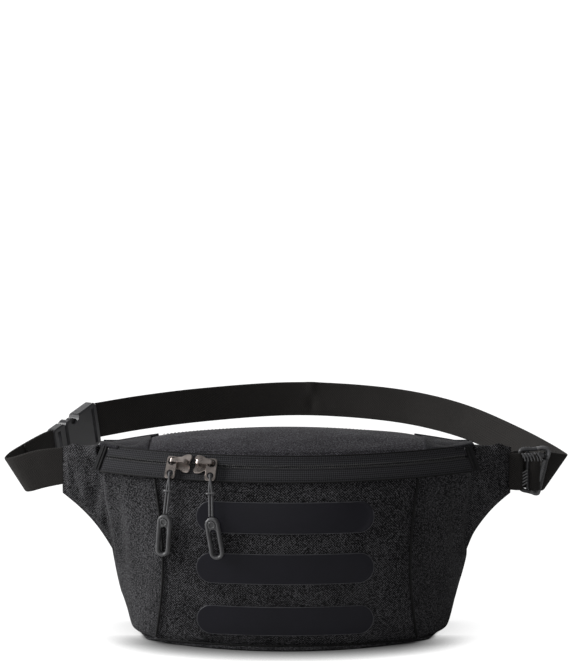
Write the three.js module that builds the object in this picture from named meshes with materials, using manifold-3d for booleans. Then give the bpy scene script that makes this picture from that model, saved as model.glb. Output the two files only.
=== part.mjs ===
// Fabric waist pack with a curved two-slider zip, hip wings, a side-release buckle and a ladder lock.
// Millimetres, +Z up. The origin is the middle of the base on the table; the front faces -Y, the wearer +Y.
import * as THREE from 'three';
import Module from 'manifold-3d';
import { mergeVertices } from 'three/addons/utils/BufferGeometryUtils.js';

const wasm = await Module();
wasm.setup();

// The zip lies on one horizontal arc, so the front, the tapes and both sliders share this vertical axis.
const ARC_Y = 233;
const SEAM = 0.5;            // clearance between neighbouring panels
const FABRIC = 2;            // padded outer fabric

// Front panel: radius from the arc axis at its foot and top, bulge between them, half-width along the arc.
const FOOT_R = 275;
const TOP_R = 274.6;
const BULGE = 7;
const FOOT_Z = 3;
const TOP_Z = 131;
const FRONT_HALF = 101;
const WAISTING = 6.5;
const CORNER_SHARE = 0.06;   // part of the gusset's depth given to the seam at the front corner

// Zip band, a strip of a cone leaning back from the top of the front panel.
const BAND_LOW_R = 274.6;
const BAND_LOW_Z = 131.5;
const BAND_HIGH_R = 263.2;
const BAND_HIGH_Z = 147.9;
const BAND_HALF_ANGLE = THREE.MathUtils.degToRad(31.7);
const TAPE = 0.8;
const COIL_AT = 0.58;        // height of the coil line as a share of the band
const TAPE_GAP = 0.11;       // open line between the two tapes, same share
const COIL_DEPTH = 1.6;
const COIL_HEIGHT = 2.2;

// Body.
const BACK_Y = 38;
const BASE_HALF = 121.5;
const BASE_BACK_Y = 35;
const BELLY_HALF = 141.5;
const BELLY_Z = 63;
const GUSSET_BOW = 5;
const WING_ROOT_X = 141;
const YOKE_HALF = 107;
const TOP_HALF = 133;
const CROWN_Z = 158.5;
const SHOULDER_Z = 150.5;
const WING_TOP_Z = 147;
const WING_END_X = 177.5;
const WING_END_Y = 31;
const WING_END_LOW = 106.5;
const WING_ROOT_LOW = 62;
const WING_SAG = 6;
const WING_END_HIGH = 142.5;

// Webbing and the three film bars.
const WEB_WIDTH = 30;
const WEB = 1.6;
const BAR_LENGTH = 135.6;
const BAR_HEIGHT = 22.6;
const BAR_FILM = 0.5;
const BAR_CENTRES = { top: 104, middle: 65, bottom: 23.4 };

// Sliders and their pulls.
const SLIDER_ANGLES = { left: -17.45, right: -13.3 };
const SLIDER_LENGTH = 16.8;
const SLIDER_WIDTH = 15;
const PLATE = 1.8;
const ARCH_CLEAR = 4.1;
const ARCH_BAR = 1.3;
const LEG_X = 6;
const LEG_MID = 4.6;
const TAB_WIDTH = 8.3;
const TAB_LENGTH = 17.6;
const TAB = 1.4;
const TAB_HOLE_DROP = 9.8;
const TAB_TILT = THREE.MathUtils.degToRad(30);
const CORD_R = 0.75;
const STRAND_X = 1.1;
const CORD_TILT = THREE.MathUtils.degToRad(15);
const CORD_DROP = 31;
const GRIP_LENGTH = 32.6;
const GRIP_WIDTH = 10.9;
const GRIP = 3.4;
const GRIP_LEAN = { left: 4, right: -10 };

// Side-release buckle for the webbing: the mouth of the socket and the socket's tail end.
const MOUTH = new THREE.Vector3(-185, 126, 126);
const TAIL = new THREE.Vector3(-163.5, 167, 136.5);
const BUCKLE_WIDTH = 38;
const BUCKLE = 10;
const SOCKET_LENGTH = TAIL.distanceTo(MOUTH);
const PRONG_BASE = 17;

// Ladder lock.
const LOCK_X = 182;
const LOCK_LENGTH = 25.4;
const LOCK_HEIGHT = 37.6;
const LOCK_FRONT_Y = 30;
const LOCK_DEPTH = 4;
const LOCK_Z = 123.6;

const object = new THREE.Group();

const lerp = THREE.MathUtils.lerp;
const wave = (t) => Math.sin(Math.PI * t);
const vec = (x, y, z) => new THREE.Vector3(x, y, z);
const onArc = (angle, radius, z) => vec(radius * Math.sin(angle), ARC_Y - radius * Math.cos(angle), z);

// ---- solids ----

// A grid of quads over the outer skin, the same grid over the inner skin, and walls round the rim.
function twoSkins(outer, inner, nu, nv) {
  const points = [];
  const index = [];
  const row = nu + 1;
  const layer = row * (nv + 1);
  for (const skin of [outer, inner]) {
    for (let j = 0; j <= nv; j++) {
      for (let i = 0; i <= nu; i++) {
        const p = skin(i / nu, j / nv);
        points.push(p.x, p.y, p.z);
      }
    }
  }
  const quad = (a, b, c, d) => index.push(a, b, c, a, c, d);
  for (let j = 0; j < nv; j++) {
    for (let i = 0; i < nu; i++) {
      const a = j * row + i;
      quad(a, a + 1, a + row + 1, a + row);
      quad(a + layer, a + layer + row, a + layer + row + 1, a + layer + 1);
    }
  }
  for (let i = 0; i < nu; i++) {
    const top = nv * row + i;
    quad(i, i + layer, i + layer + 1, i + 1);
    quad(top, top + 1, top + 1 + layer, top + layer);
  }
  for (let j = 0; j < nv; j++) {
    const a = j * row;
    const b = a + nu;
    quad(a, a + row, a + row + layer, a + layer);
    quad(b, b + layer, b + row + layer, b + row);
  }
  const geometry = new THREE.BufferGeometry();
  geometry.setAttribute('position', new THREE.Float32BufferAttribute(points, 3));
  geometry.setIndex(index);
  return geometry;
}

// Fabric of even thickness laid inwards from a surface whose u runs left to right seen from outside.
function panel(surface, thickness, nu, nv, lift = 0) {
  const step = 0.001;
  const normal = (u, v) => {
    const du = surface(Math.min(u + step, 1), v).sub(surface(Math.max(u - step, 0), v));
    const dv = surface(u, Math.min(v + step, 1)).sub(surface(u, Math.max(v - step, 0)));
    return du.cross(dv).normalize();
  };
  const skin = (offset) => (u, v) => surface(u, v).addScaledVector(normal(u, v), offset);
  return twoSkins(skin(lift), skin(lift - thickness), nu, nv);
}

function mirrored(geometry) {
  const copy = geometry.clone();
  copy.scale(-1, 1, 1);
  const index = copy.getIndex().array;
  for (let i = 0; i < index.length; i += 3) {
    [index[i], index[i + 1]] = [index[i + 1], index[i]];
  }
  return copy;
}

function toSolid(geometry) {
  const bare = geometry.clone();
  bare.deleteAttribute('normal');
  bare.deleteAttribute('uv');
  const welded = mergeVertices(bare, 0.0001);
  return new wasm.Manifold(new wasm.Mesh({
    numProp: 3,
    vertProperties: new Float32Array(welded.attributes.position.array),
    triVerts: new Uint32Array(welded.index.array),
  }));
}

function fromSolid(solid) {
  const mesh = solid.getMesh();
  const geometry = new THREE.BufferGeometry();
  geometry.setAttribute('position', new THREE.BufferAttribute(new Float32Array(mesh.vertProperties), 3));
  geometry.setIndex(new THREE.BufferAttribute(new Uint32Array(mesh.triVerts), 1));
  return geometry;
}

const cut = (body, ...tools) => fromSolid(tools.reduce((s, t) => s.subtract(toSolid(t)), toSolid(body)));
const join = (...bodies) => fromSolid(bodies.map(toSolid).reduce((a, b) => a.add(b)));

function roundedShape(width, height, radius) {
  const x = width / 2;
  const y = height / 2;
  const shape = new THREE.Shape();
  shape.moveTo(-x + radius, -y);
  shape.lineTo(x - radius, -y);
  shape.absarc(x - radius, -y + radius, radius, -Math.PI / 2, 0);
  shape.lineTo(x, y - radius);
  shape.absarc(x - radius, y - radius, radius, 0, Math.PI / 2);
  shape.lineTo(-x + radius, y);
  shape.absarc(-x + radius, y - radius, radius, Math.PI / 2, Math.PI);
  shape.lineTo(-x, -y + radius);
  shape.absarc(-x + radius, -y + radius, radius, Math.PI, Math.PI * 1.5);
  return shape;
}

function stadium(width, length) {
  const radius = width / 2;
  const reach = length / 2 - radius;
  const shape = new THREE.Shape();
  shape.absarc(0, reach, radius, 0, Math.PI);
  shape.absarc(0, -reach, radius, Math.PI, Math.PI * 2);
  return shape;
}

const disc = (radius) => new THREE.Shape().absarc(0, 0, radius, 0, Math.PI * 2);

// A shape drawn in X and Z and given depth towards -Y, its back face on Y = 0.
function plate(shape, depth, curveSegments = 6) {
  const geometry = new THREE.ExtrudeGeometry(shape, { depth, bevelEnabled: false, curveSegments });
  return geometry.rotateX(Math.PI / 2);
}

// The same with a small chamfer on both faces, centred on Y = 0.
function softPlate(shape, depth, bevel, curveSegments = 5) {
  const geometry = new THREE.ExtrudeGeometry(shape, {
    depth: depth - 2 * bevel,
    bevelSize: bevel,
    bevelThickness: bevel,
    bevelOffset: -bevel,
    bevelSegments: 1,
    curveSegments,
  });
  return geometry.translate(0, 0, bevel - depth / 2).rotateX(Math.PI / 2);
}

const block = (x, y, z) => new THREE.BoxGeometry(x, y, z);

// Flat webbing standing on edge that follows a line of plan points.
function standingWeb(points, thickness, width, steps) {
  const curve = new THREE.CatmullRomCurve3(points, false, 'centripetal');
  const side = (sign, t) => {
    const along = curve.getTangentAt(t);
    const across = vec(along.y, -along.x, 0).normalize();
    return curve.getPointAt(t).addScaledVector(across, sign * thickness / 2);
  };
  const skin = (sign) => (u, v) => side(sign, u).add(vec(0, 0, lerp(-width / 2, width / 2, v)));
  return twoSkins(skin(1), skin(-1), steps, 1);
}

// Webbing whose two edges are separate lines in space, so that it can lean and twist.
function leaningWeb(top, bottom, thickness, steps, offset = 0) {
  const topEdge = new THREE.CatmullRomCurve3(top, false, 'centripetal');
  const bottomEdge = new THREE.CatmullRomCurve3(bottom, false, 'centripetal');
  const at = (u, v) => topEdge.getPoint(u).lerp(bottomEdge.getPoint(u), 1 - v);
  return panel(at, thickness, steps, 1, offset + thickness / 2);
}

function add(name, geometry, colour, roughness, metalness = 0, parent = object) {
  const material = new THREE.MeshStandardMaterial({ color: colour, roughness, metalness });
  const mesh = new THREE.Mesh(geometry, material);
  mesh.name = name;
  parent.add(mesh);
  return mesh;
}

const addFabric = (name, geometry, parent) => add(name, geometry, '#26262a', 0.9, 0, parent);
const addLining = (name, geometry) => add(name, geometry, '#1b1b1e', 0.8);
const addWebbing = (name, geometry) => add(name, geometry, '#1c1b1c', 0.85);
const addPlastic = (name, geometry, parent) => add(name, geometry, '#3a3a3d', 0.45, 0, parent);

// ---- body panels ----

const frontRadius = (t) => lerp(FOOT_R, TOP_R, t) + BULGE * wave(t);
const frontHalfAngle = (t) => Math.asin((FRONT_HALF - WAISTING * wave(t)) / frontRadius(t));
const frontHeight = (t) => lerp(FOOT_Z, TOP_Z, t);
const frontShare = (z) => (z - FOOT_Z) / (TOP_Z - FOOT_Z);

function frontSurface(u, v) {
  const half = frontHalfAngle(v) - SEAM / TOP_R;
  return onArc(lerp(-half, half, u), frontRadius(v), frontHeight(v));
}

// The yoke's rear edge is an arch; the corner pieces beside it fall away in a straight line.
const cornerAt = (x) => Math.min(crownAt(x), lerp(CROWN_Z, SHOULDER_Z, x / YOKE_HALF));

// Rear edge of the side gusset: base corner, belly, end of the zip.
const gussetRear = new THREE.CubicBezierCurve3(
  vec(BASE_HALF, BASE_BACK_Y - 2, FOOT_Z),
  vec(BELLY_HALF - 3.5, BACK_Y - 1, 26),
  vec(BELLY_HALF + 6.5, BACK_Y - 2, BELLY_Z + 15),
  onArc(BAND_HALF_ANGLE - 0.004, BAND_LOW_R, TOP_Z - 0.5),
);

function gussetSurface(u, v) {
  const front = onArc(frontHalfAngle(v) + SEAM / TOP_R, frontRadius(v), lerp(FOOT_Z, TOP_Z - 0.5, v));
  const bow = GUSSET_BOW * wave(u) * (1 - v ** 1.5);
  return front.lerp(gussetRear.getPoint(v), lerp(CORNER_SHARE, 1, u)).add(vec(bow, -bow, 0));
}

const bodyHalf = (z) => lerp(BASE_HALF, BELLY_HALF, Math.sin(Math.min(z / BELLY_Z, 1) * Math.PI / 2));
const crownAt = (x) => lerp(CROWN_Z, SHOULDER_Z, (x / YOKE_HALF) ** 2);

function backSurface(u, v) {
  const half = bodyHalf(frontHeight(v)) - 1;
  const x = lerp(half, -half, u);
  const top = Math.max(crownAt(x), WING_TOP_Z) - 3;
  return vec(x, BACK_Y, lerp(FOOT_Z, top, v));
}

function baseSurface(u, v) {
  const half = lerp(BASE_HALF - 2, FRONT_HALF - 4, v * v);
  const x = lerp(-half, half, u);
  const frontY = ARC_Y - Math.sqrt((FOOT_R - FABRIC - 1) ** 2 - x * x);
  return vec(x, lerp(BASE_BACK_Y - 2, frontY, v), 0);
}

const bandBack = (x) => ARC_Y - Math.sqrt((BAND_HIGH_R - SEAM) ** 2 - x * x);

function topSurface(from, to, rear) {
  return (u, v) => {
    const x = lerp(from, to, u);
    const z = lerp(BAND_HIGH_Z, rear(x), v) + 2 * wave(v);
    return vec(x, lerp(bandBack(x), BACK_Y - 2, v), z);
  };
}

// Front face of the right wing: from the gusset's rear edge out to the webbing.
function wingFrontSurface(u, v) {
  const low = vec(BELLY_HALF + 3.5, 33, WING_ROOT_LOW);
  const inner = low.lerp(vec(WING_ROOT_X + 7, 9.5, WING_TOP_Z + 2), v);
  const outer = vec(WING_END_X, WING_END_Y, lerp(WING_END_LOW, WING_END_HIGH, v));
  const sag = WING_SAG * wave(u) * (1 - v);
  return inner.lerp(outer, u).add(vec(0, -2 * wave(u), sag));
}

// Back face of the right wing, seen from behind, so u runs from the outer end inwards.
function wingBackSurface(u, v) {
  const inner = vec(BELLY_HALF + 2.5, BACK_Y, lerp(WING_ROOT_LOW, WING_TOP_Z - 2, v));
  const outer = vec(WING_END_X, BACK_Y - 2, lerp(WING_END_LOW, WING_END_HIGH, v));
  const sag = WING_SAG * wave(u) * (1 - v);
  return outer.lerp(inner, u).add(vec(0, 0, sag));
}

function wingPad() {
  const skin = (share) => (u, v) => {
    const margin = lerp(0.08, 0.92, v);
    const front = wingFrontSurface(lerp(0.06, 0.76, u), margin);
    const back = wingBackSurface(1 - lerp(0.06, 0.76, u), margin);
    return front.lerp(back, share);
  };
  return twoSkins(skin(0.32), skin(0.68), 4, 4);
}

function bodyPanels() {
  addFabric('front_panel', panel(frontSurface, FABRIC, 20, 8));
  const gusset = panel(gussetSurface, FABRIC, 5, 8);
  addFabric('gusset_right', gusset);
  addFabric('gusset_left', mirrored(gusset));
  addFabric('back_panel', panel(backSurface, FABRIC, 12, 6));
  addFabric('base_panel', panel(baseSurface, FABRIC, 12, 3));
  const yoke = topSurface(-YOKE_HALF + SEAM, YOKE_HALF - SEAM, crownAt);
  addFabric('top_yoke', panel(yoke, FABRIC, 14, 4));
  const corner = panel(topSurface(YOKE_HALF + SEAM, TOP_HALF, cornerAt), FABRIC, 4, 4);
  addLining('top_corner_right', corner);
  addLining('top_corner_left', mirrored(corner));
}

function wings() {
  const front = panel(wingFrontSurface, FABRIC, 5, 4);
  const back = panel(wingBackSurface, FABRIC, 5, 4);
  const pad = wingPad();
  for (const [side, turn] of [['right', (g) => g], ['left', mirrored]]) {
    addFabric(`wing_front_${side}`, turn(front));
    addFabric(`wing_back_${side}`, turn(back));
    add(`wing_foam_${side}`, turn(pad), '#55565a', 0.95);
  }
}

// ---- inside ----

function inside() {
  const foam = (u, v) => vec(lerp(98, -98, u), BACK_Y - FABRIC - SEAM, lerp(8, 138, v));
  add('back_foam', panel(foam, 5, 2, 2), '#55565a', 0.95);
  const lining = (u, v) => vec(lerp(96, -96, u), BACK_Y - 8.5, lerp(10, 134, v));
  addLining('back_lining', panel(lining, 0.8, 2, 2));
  const pocket = (u, v) => vec(lerp(70, -70, u), BACK_Y - 10.5 - 2 * wave(u), lerp(14, 96, v));
  addLining('inner_pocket', panel(pocket, 0.8, 8, 1));
  const stiffener = (u, v) => vec(lerp(-88, 88, u), lerp(24, -20, v), FABRIC + 2);
  addLining('base_stiffener', panel(stiffener, 1.2, 2, 2));
  const binding = (u, v) => {
    const angle = frontHalfAngle(lerp(0.06, 0.94, v)) - lerp(0.045, 0.012, u);
    return onArc(angle, frontRadius(lerp(0.06, 0.94, v)) - FABRIC - 0.6, lerp(FOOT_Z + 6, TOP_Z - 6, v));
  };
  const tape = panel(binding, 0.8, 2, 8);
  addLining('seam_binding_right', tape);
  addLining('seam_binding_left', mirrored(tape));
}

// ---- film bars ----

function bar(centre) {
  const radius = BAR_HEIGHT / 2;
  const surface = (u, v) => {
    const rise = -Math.cos(Math.PI * v) * radius;
    const half = BAR_LENGTH / 2 - radius + Math.sqrt(Math.max(radius ** 2 - rise ** 2, 0)) + 0.4;
    const z = centre + rise;
    const r = frontRadius(frontShare(z));
    return onArc((lerp(-half, half, u) - 1) / r, r, z);
  };
  return panel(surface, BAR_FILM, 14, 8, 0.35 + BAR_FILM);
}

function bars() {
  for (const [place, centre] of Object.entries(BAR_CENTRES)) {
    add(`front_bar_${place}`, bar(centre), '#1c1c24', 0.4);
  }
}

// ---- zip ----

function bandSurface(low, high, halfAngle = BAND_HALF_ANGLE) {
  return (u, v) => {
    const share = lerp(low, high, v);
    const radius = lerp(BAND_LOW_R, BAND_HIGH_R, share);
    return onArc(lerp(-halfAngle, halfAngle, u), radius, lerp(BAND_LOW_Z, BAND_HIGH_Z, share));
  };
}

function zip() {
  const bandWidth = Math.hypot(BAND_LOW_R - BAND_HIGH_R, BAND_HIGH_Z - BAND_LOW_Z);
  const coil = COIL_HEIGHT / bandWidth;
  const low = COIL_AT - TAPE_GAP / 2;
  const high = COIL_AT + TAPE_GAP / 2;
  const inset = TAPE + 0.3;
  add('zip_tape_lower', panel(bandSurface(0.01, low), TAPE, 36, 1), '#222226', 0.85);
  add('zip_tape_upper', panel(bandSurface(high, 0.99), TAPE, 36, 1), '#222226', 0.85);
  add('zip_coil_lower', panel(bandSurface(low - coil, low), COIL_DEPTH, 36, 1, -inset), '#1a1a1c', 0.5);
  add('zip_coil_upper', panel(bandSurface(high, high + coil), COIL_DEPTH, 36, 1, -inset), '#1a1a1c', 0.5);
  const stop = (u, v) => {
    const share = lerp(-0.04, 1.02, v);
    const angle = BAND_HALF_ANGLE + lerp(0.002, 0.012, u);
    return onArc(angle, lerp(BAND_LOW_R, BAND_HIGH_R, share), lerp(BAND_LOW_Z, BAND_HIGH_Z, share));
  };
  const tab = panel(stop, 2.4, 1, 2, 0.8);
  addWebbing('zip_end_right', tab);
  addWebbing('zip_end_left', mirrored(tab));
}

const withIndex = (geometry) => (geometry.getIndex() ? geometry : mergeVertices(geometry));

// ---- sliders and pulls: built for the right-hand slider, nose towards -X ----

function sliderPlate(length, width) {
  const x = length / 2;
  const z = width / 2;
  const shape = new THREE.Shape();
  shape.moveTo(x - 1.5, -z * 0.62);
  shape.quadraticCurveTo(x, -z * 0.6, x, -z * 0.3);
  shape.lineTo(x, z * 0.3);
  shape.quadraticCurveTo(x, z * 0.6, x - 1.5, z * 0.62);
  shape.lineTo(0, z * 0.7);
  shape.quadraticCurveTo(-x * 0.3, z, -x * 0.7, z);
  shape.quadraticCurveTo(-x, z, -x, z * 0.6);
  shape.lineTo(-x + 1.6, 0);
  shape.lineTo(-x, -z * 0.6);
  shape.quadraticCurveTo(-x, -z, -x * 0.7, -z);
  shape.quadraticCurveTo(-x * 0.3, -z, 0, -z * 0.7);
  shape.lineTo(x - 1.5, -z * 0.62);
  return shape;
}

function archShape() {
  const low = PLATE + 0.4;
  const clear = PLATE + 0.5 + ARCH_CLEAR;
  const top = clear + ARCH_BAR;
  const shape = new THREE.Shape();
  shape.moveTo(LEG_X + 1, -low);
  shape.lineTo(LEG_X + 1, -top + 1.2);
  shape.quadraticCurveTo(LEG_X + 1, -top, LEG_X - 0.4, -top);
  shape.lineTo(-4, -top);
  shape.quadraticCurveTo(-6, -top, -6.4, -top + 2);
  shape.lineTo(-7, -low);
  shape.lineTo(-4.6, -low);
  shape.lineTo(-4.2, -clear);
  shape.lineTo(LEG_X - 1, -clear);
  shape.lineTo(LEG_X - 1, -low);
  shape.lineTo(LEG_X + 1, -low);
  return shape;
}

function sliderSolid() {
  const behind = TAPE + COIL_DEPTH + 0.8;
  const front = softPlate(sliderPlate(SLIDER_LENGTH, SLIDER_WIDTH), PLATE, 0.4);
  front.translate(0, -0.5 - PLATE / 2, 0);
  const back = softPlate(sliderPlate(SLIDER_LENGTH - 2, SLIDER_WIDTH - 3), 1.4, 0.3);
  back.translate(0, behind + 0.7, 0);
  const neck = block(4, behind + 2, 1.2).translate(-2, behind / 2 - 0.1, 0);
  const arch = new THREE.ExtrudeGeometry(archShape(), { depth: 3, bevelEnabled: false, curveSegments: 4 });
  arch.translate(0, 0, -1.5);
  return join(front, back, neck, arch);
}

// The pull tab hangs from the slider's outer leg; its local origin is the middle of that leg.
function tabSolid() {
  const shape = roundedShape(TAB_WIDTH, TAB_LENGTH, 2.2);
  const middle = TAB_LENGTH / 2 - 3.8;
  const body = softPlate(shape, TAB, 0.25).translate(0, 0, -middle);
  const upper = plate(roundedShape(4.8, 4.8, 1.5), 4).translate(0, 2, 0);
  const lower = plate(disc(2.7), 4).translate(0, 2, -TAB_HOLE_DROP);
  return cut(body, upper, lower);
}

// The cord runs up from the grip, round the lower rim of the tab's hole and back down.
function cordSolid() {
  const rim = TAB_LENGTH - 3.8 - TAB_HOLE_DROP;
  const lift = TAB / 2 + CORD_R + 0.6;
  const onTab = (x, y, z) => vec(x, y, z).applyEuler(new THREE.Euler(CORD_TILT - TAB_TILT, 0, 0));
  const path = new THREE.CatmullRomCurve3([
    vec(-STRAND_X, 0, -CORD_DROP),
    vec(-STRAND_X, 0, -18),
    vec(-STRAND_X, 0.3, -11),
    onTab(-STRAND_X * 0.6, lift, -rim),
    onTab(0, lift * 0.7, 0.2),
    onTab(0, -lift * 0.7, 0.2),
    onTab(STRAND_X * 0.6, -lift, -rim),
    vec(STRAND_X, -0.3, -11),
    vec(STRAND_X, 0, -18),
    vec(STRAND_X, 0, -CORD_DROP),
  ], false, 'centripetal');
  return new THREE.ExtrudeGeometry(disc(CORD_R), { steps: 30, extrudePath: path, curveSegments: 4 });
}

function collarSolid() {
  const shape = roundedShape(7.4, 4, 1.9);
  shape.holes.push(roundedShape(4.6, 2.2, 1));
  return new THREE.ExtrudeGeometry(shape, { depth: 1.8, bevelEnabled: false, curveSegments: 4 });
}

function gripSolid() {
  const shape = stadium(GRIP_WIDTH, GRIP_LENGTH);
  const body = softPlate(shape, GRIP, 0.7, 6).translate(0, 0, -GRIP_LENGTH / 2);
  const slot = plate(stadium(5.4, 20.4), 6).translate(0, 3, -19.4);
  const boss = plate(disc(3.6), GRIP / 2 + 0.5, 8).translate(0, 0, -5.6);
  return join(cut(body, slot), boss);
}

function pull(side, hand) {
  const carrier = new THREE.Group();
  carrier.position.set(0, ARC_Y, 0);
  carrier.rotation.z = THREE.MathUtils.degToRad(SLIDER_ANGLES[side]);
  object.add(carrier);

  const radius = lerp(BAND_LOW_R, BAND_HIGH_R, COIL_AT);
  const lean = Math.atan2(BAND_LOW_R - BAND_HIGH_R, BAND_HIGH_Z - BAND_LOW_Z);
  const seat = new THREE.Group();
  seat.position.set(0, -radius, lerp(BAND_LOW_Z, BAND_HIGH_Z, COIL_AT));
  seat.rotation.x = -lean;
  carrier.add(seat);
  const facing = (geometry) => (hand > 0 ? geometry : mirrored(withIndex(geometry)));
  add(`slider_${side}`, facing(sliderSolid()), '#c9bdb8', 0.3, 1, seat);

  const leg = new THREE.Group();
  leg.position.copy(vec(hand * LEG_X, -LEG_MID, 0).applyEuler(seat.rotation).add(seat.position));
  leg.rotation.x = -TAB_TILT;
  carrier.add(leg);
  add(`pull_tab_${side}`, tabSolid(), '#c9bdb8', 0.3, 1, leg);

  const eye = new THREE.Group();
  eye.position.copy(vec(0, 0, -TAB_HOLE_DROP).applyEuler(leg.rotation).add(leg.position));
  eye.rotation.set(-CORD_TILT, THREE.MathUtils.degToRad(GRIP_LEAN[side] / 2), 0);
  carrier.add(eye);
  add(`cord_${side}`, cordSolid(), '#1a1a1c', 0.7, 0, eye);
  const collar = addPlastic(`cord_collar_${side}`, collarSolid(), eye);
  collar.position.z = -14.4;

  const hook = new THREE.Group();
  hook.position.copy(vec(0, 0, -CORD_DROP - 0.4).applyEuler(eye.rotation).add(eye.position));
  hook.rotation.set(-0.02, THREE.MathUtils.degToRad(GRIP_LEAN[side]), 0);
  carrier.add(hook);
  add(`grip_${side}`, gripSolid(), '#3b3b3d', 0.6, 0, hook);
}

// ---- buckle: local X runs from the prong side to the socket's tail, Z is the webbing's width ----

function buckleFrame() {
  const along = TAIL.clone().sub(MOUTH).normalize();
  const through = vec(-along.y, along.x, 0).normalize();
  const across = along.clone().cross(through);
  const frame = new THREE.Group();
  frame.position.copy(MOUTH);
  frame.setRotationFromMatrix(new THREE.Matrix4().makeBasis(along, through, across));
  object.add(frame);
  return frame;
}

function socketSolid() {
  const half = SOCKET_LENGTH / 2;
  const body = softPlate(roundedShape(SOCKET_LENGTH, BUCKLE_WIDTH, 4), BUCKLE, 1.4).translate(half, 0, 0);
  const cavity = block(30, 6, 30.4).translate(14, 0, 0);
  const window = new THREE.CylinderGeometry(7, 7, BUCKLE + 2, 20);
  const upper = window.clone().translate(13, 0, BUCKLE_WIDTH / 2 + 1);
  const lower = window.clone().translate(13, 0, -BUCKLE_WIDTH / 2 - 1);
  const slot = block(4, BUCKLE + 2, WEB_WIDTH + 1).translate(SOCKET_LENGTH - 7.5, 0, 0);
  return cut(body, cavity, upper, lower, slot);
}

function prongBase() {
  const middle = -PRONG_BASE / 2 - 0.4;
  const body = softPlate(roundedShape(PRONG_BASE, BUCKLE_WIDTH, 3), 8, 1).translate(middle, 0, 0);
  const slot = block(4.5, 10, WEB_WIDTH + 1).translate(middle - 1.5, 0, 0);
  const tongue = block(26, 4, 6).translate(12, 0, 0);
  return cut(join(body, tongue), slot);
}

function prongArm(sign) {
  const shape = new THREE.Shape();
  shape.moveTo(0.4, 8);
  shape.lineTo(0.4, 11.5);
  shape.lineTo(8.4, 13.8);
  shape.lineTo(9.4, 17.4);
  shape.quadraticCurveTo(13, 18.8, 16, 16.4);
  shape.lineTo(20.6, 12.6);
  shape.quadraticCurveTo(21.4, 10.6, 19.4, 10.2);
  shape.lineTo(12, 10.8);
  shape.lineTo(3.6, 8);
  shape.lineTo(0.4, 8);
  const arm = softPlate(shape, 4.4, 0.3, 4);
  return sign > 0 ? arm : arm.rotateX(Math.PI);
}

function buckle() {
  const frame = buckleFrame();
  addPlastic('buckle_socket', socketSolid(), frame);
  addPlastic('buckle_prong_base', prongBase(), frame);
  addPlastic('buckle_arm_upper', prongArm(1), frame);
  addPlastic('buckle_arm_lower', prongArm(-1), frame);
}

// ---- ladder lock on the right wing ----

function ladderLock() {
  const shape = roundedShape(LOCK_LENGTH, LOCK_HEIGHT, 2.5);
  const body = softPlate(shape, LOCK_DEPTH, 0.6);
  const slot = (x, width) => block(width, LOCK_DEPTH + 2, WEB_WIDTH + 1.4).translate(x, 0, 0);
  const lip = softPlate(roundedShape(5, LOCK_HEIGHT - 4, 1), 3.4, 0.5).translate(10.2, -2.8, 0);
  const frame = cut(body, slot(-8, 3.4), slot(-2.2, 3.8), slot(5, 3.8));
  const bar = block(3.2, 1.4, WEB_WIDTH).translate(1.4, -1.2, 0);
  const geometry = join(frame, lip, bar);
  const mesh = addPlastic('ladder_lock', geometry);
  mesh.position.set(LOCK_X + LOCK_LENGTH / 2, LOCK_FRONT_Y + LOCK_DEPTH / 2, LOCK_Z);
}

// ---- webbing ----

// From the left wing forward, round a soft turn and back to the prong base.
function shortStrap() {
  const top = [
    vec(-178.8, 33.5, 142.4), vec(-198.4, 37, 139.1), vec(-219, 42.5, 132.2), vec(-224.6, 49, 130.6),
    vec(-222.5, 58, 132.6), vec(-214, 74, 136), vec(-200.6, 97, 140.2), vec(-195.5, 106.5, 141.2),
  ];
  const bottom = [
    vec(-178.6, 33.5, 112.8), vec(-191, 36.2, 109.2), vec(-203, 40, 105.2), vec(-207.4, 45.5, 104),
    vec(-207.2, 54, 105.2), vec(-204, 71, 108), vec(-197.5, 97, 110.6), vec(-194.5, 106.5, 111.2),
  ];
  addWebbing('short_strap', leaningWeb(top, bottom, WEB, 40));
  const hem = (edge) => edge.slice(5).map((p) => p.clone().add(vec(0.4, 0.2, 0)));
  addWebbing('short_strap_hem', leaningWeb(hem(top), hem(bottom), WEB, 8, WEB + 1.2));
}

// From the socket round the back, standing upright, then leaning outwards into the fold at the right corner.
function waistStrap() {
  const upright = [
    vec(-160.2, 171.4, 152.6), vec(-126.4, 195, 153.9), vec(-75, 219, 156), vec(0, 236, 158.3),
    vec(50, 234, 157.4), vec(99.3, 221, 154.7), vec(132.8, 201, 151.4), vec(160, 174, 147.4),
  ];
  const top = [
    ...upright, vec(195.9, 118, 139.9), vec(214, 78, 136), vec(222.4, 54, 134), vec(223.6, 47, 133.8),
    vec(220.4, 43.4, 134.6), vec(212, 40.4, 136.4), vec(203.4, 38.4, 137.8),
  ];
  const bottom = [
    ...upright.map((p) => p.clone().setZ(p.z - WEB_WIDTH)), vec(190, 120.5, 110.6), vec(203, 80, 108),
    vec(204.8, 52, 105.4), vec(204.4, 46, 105), vec(202.8, 42.6, 105.2), vec(201.4, 40.4, 106),
    vec(199.9, 38.4, 107),
  ];
  addWebbing('waist_strap', leaningWeb(top, bottom, WEB, 90));
}

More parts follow.
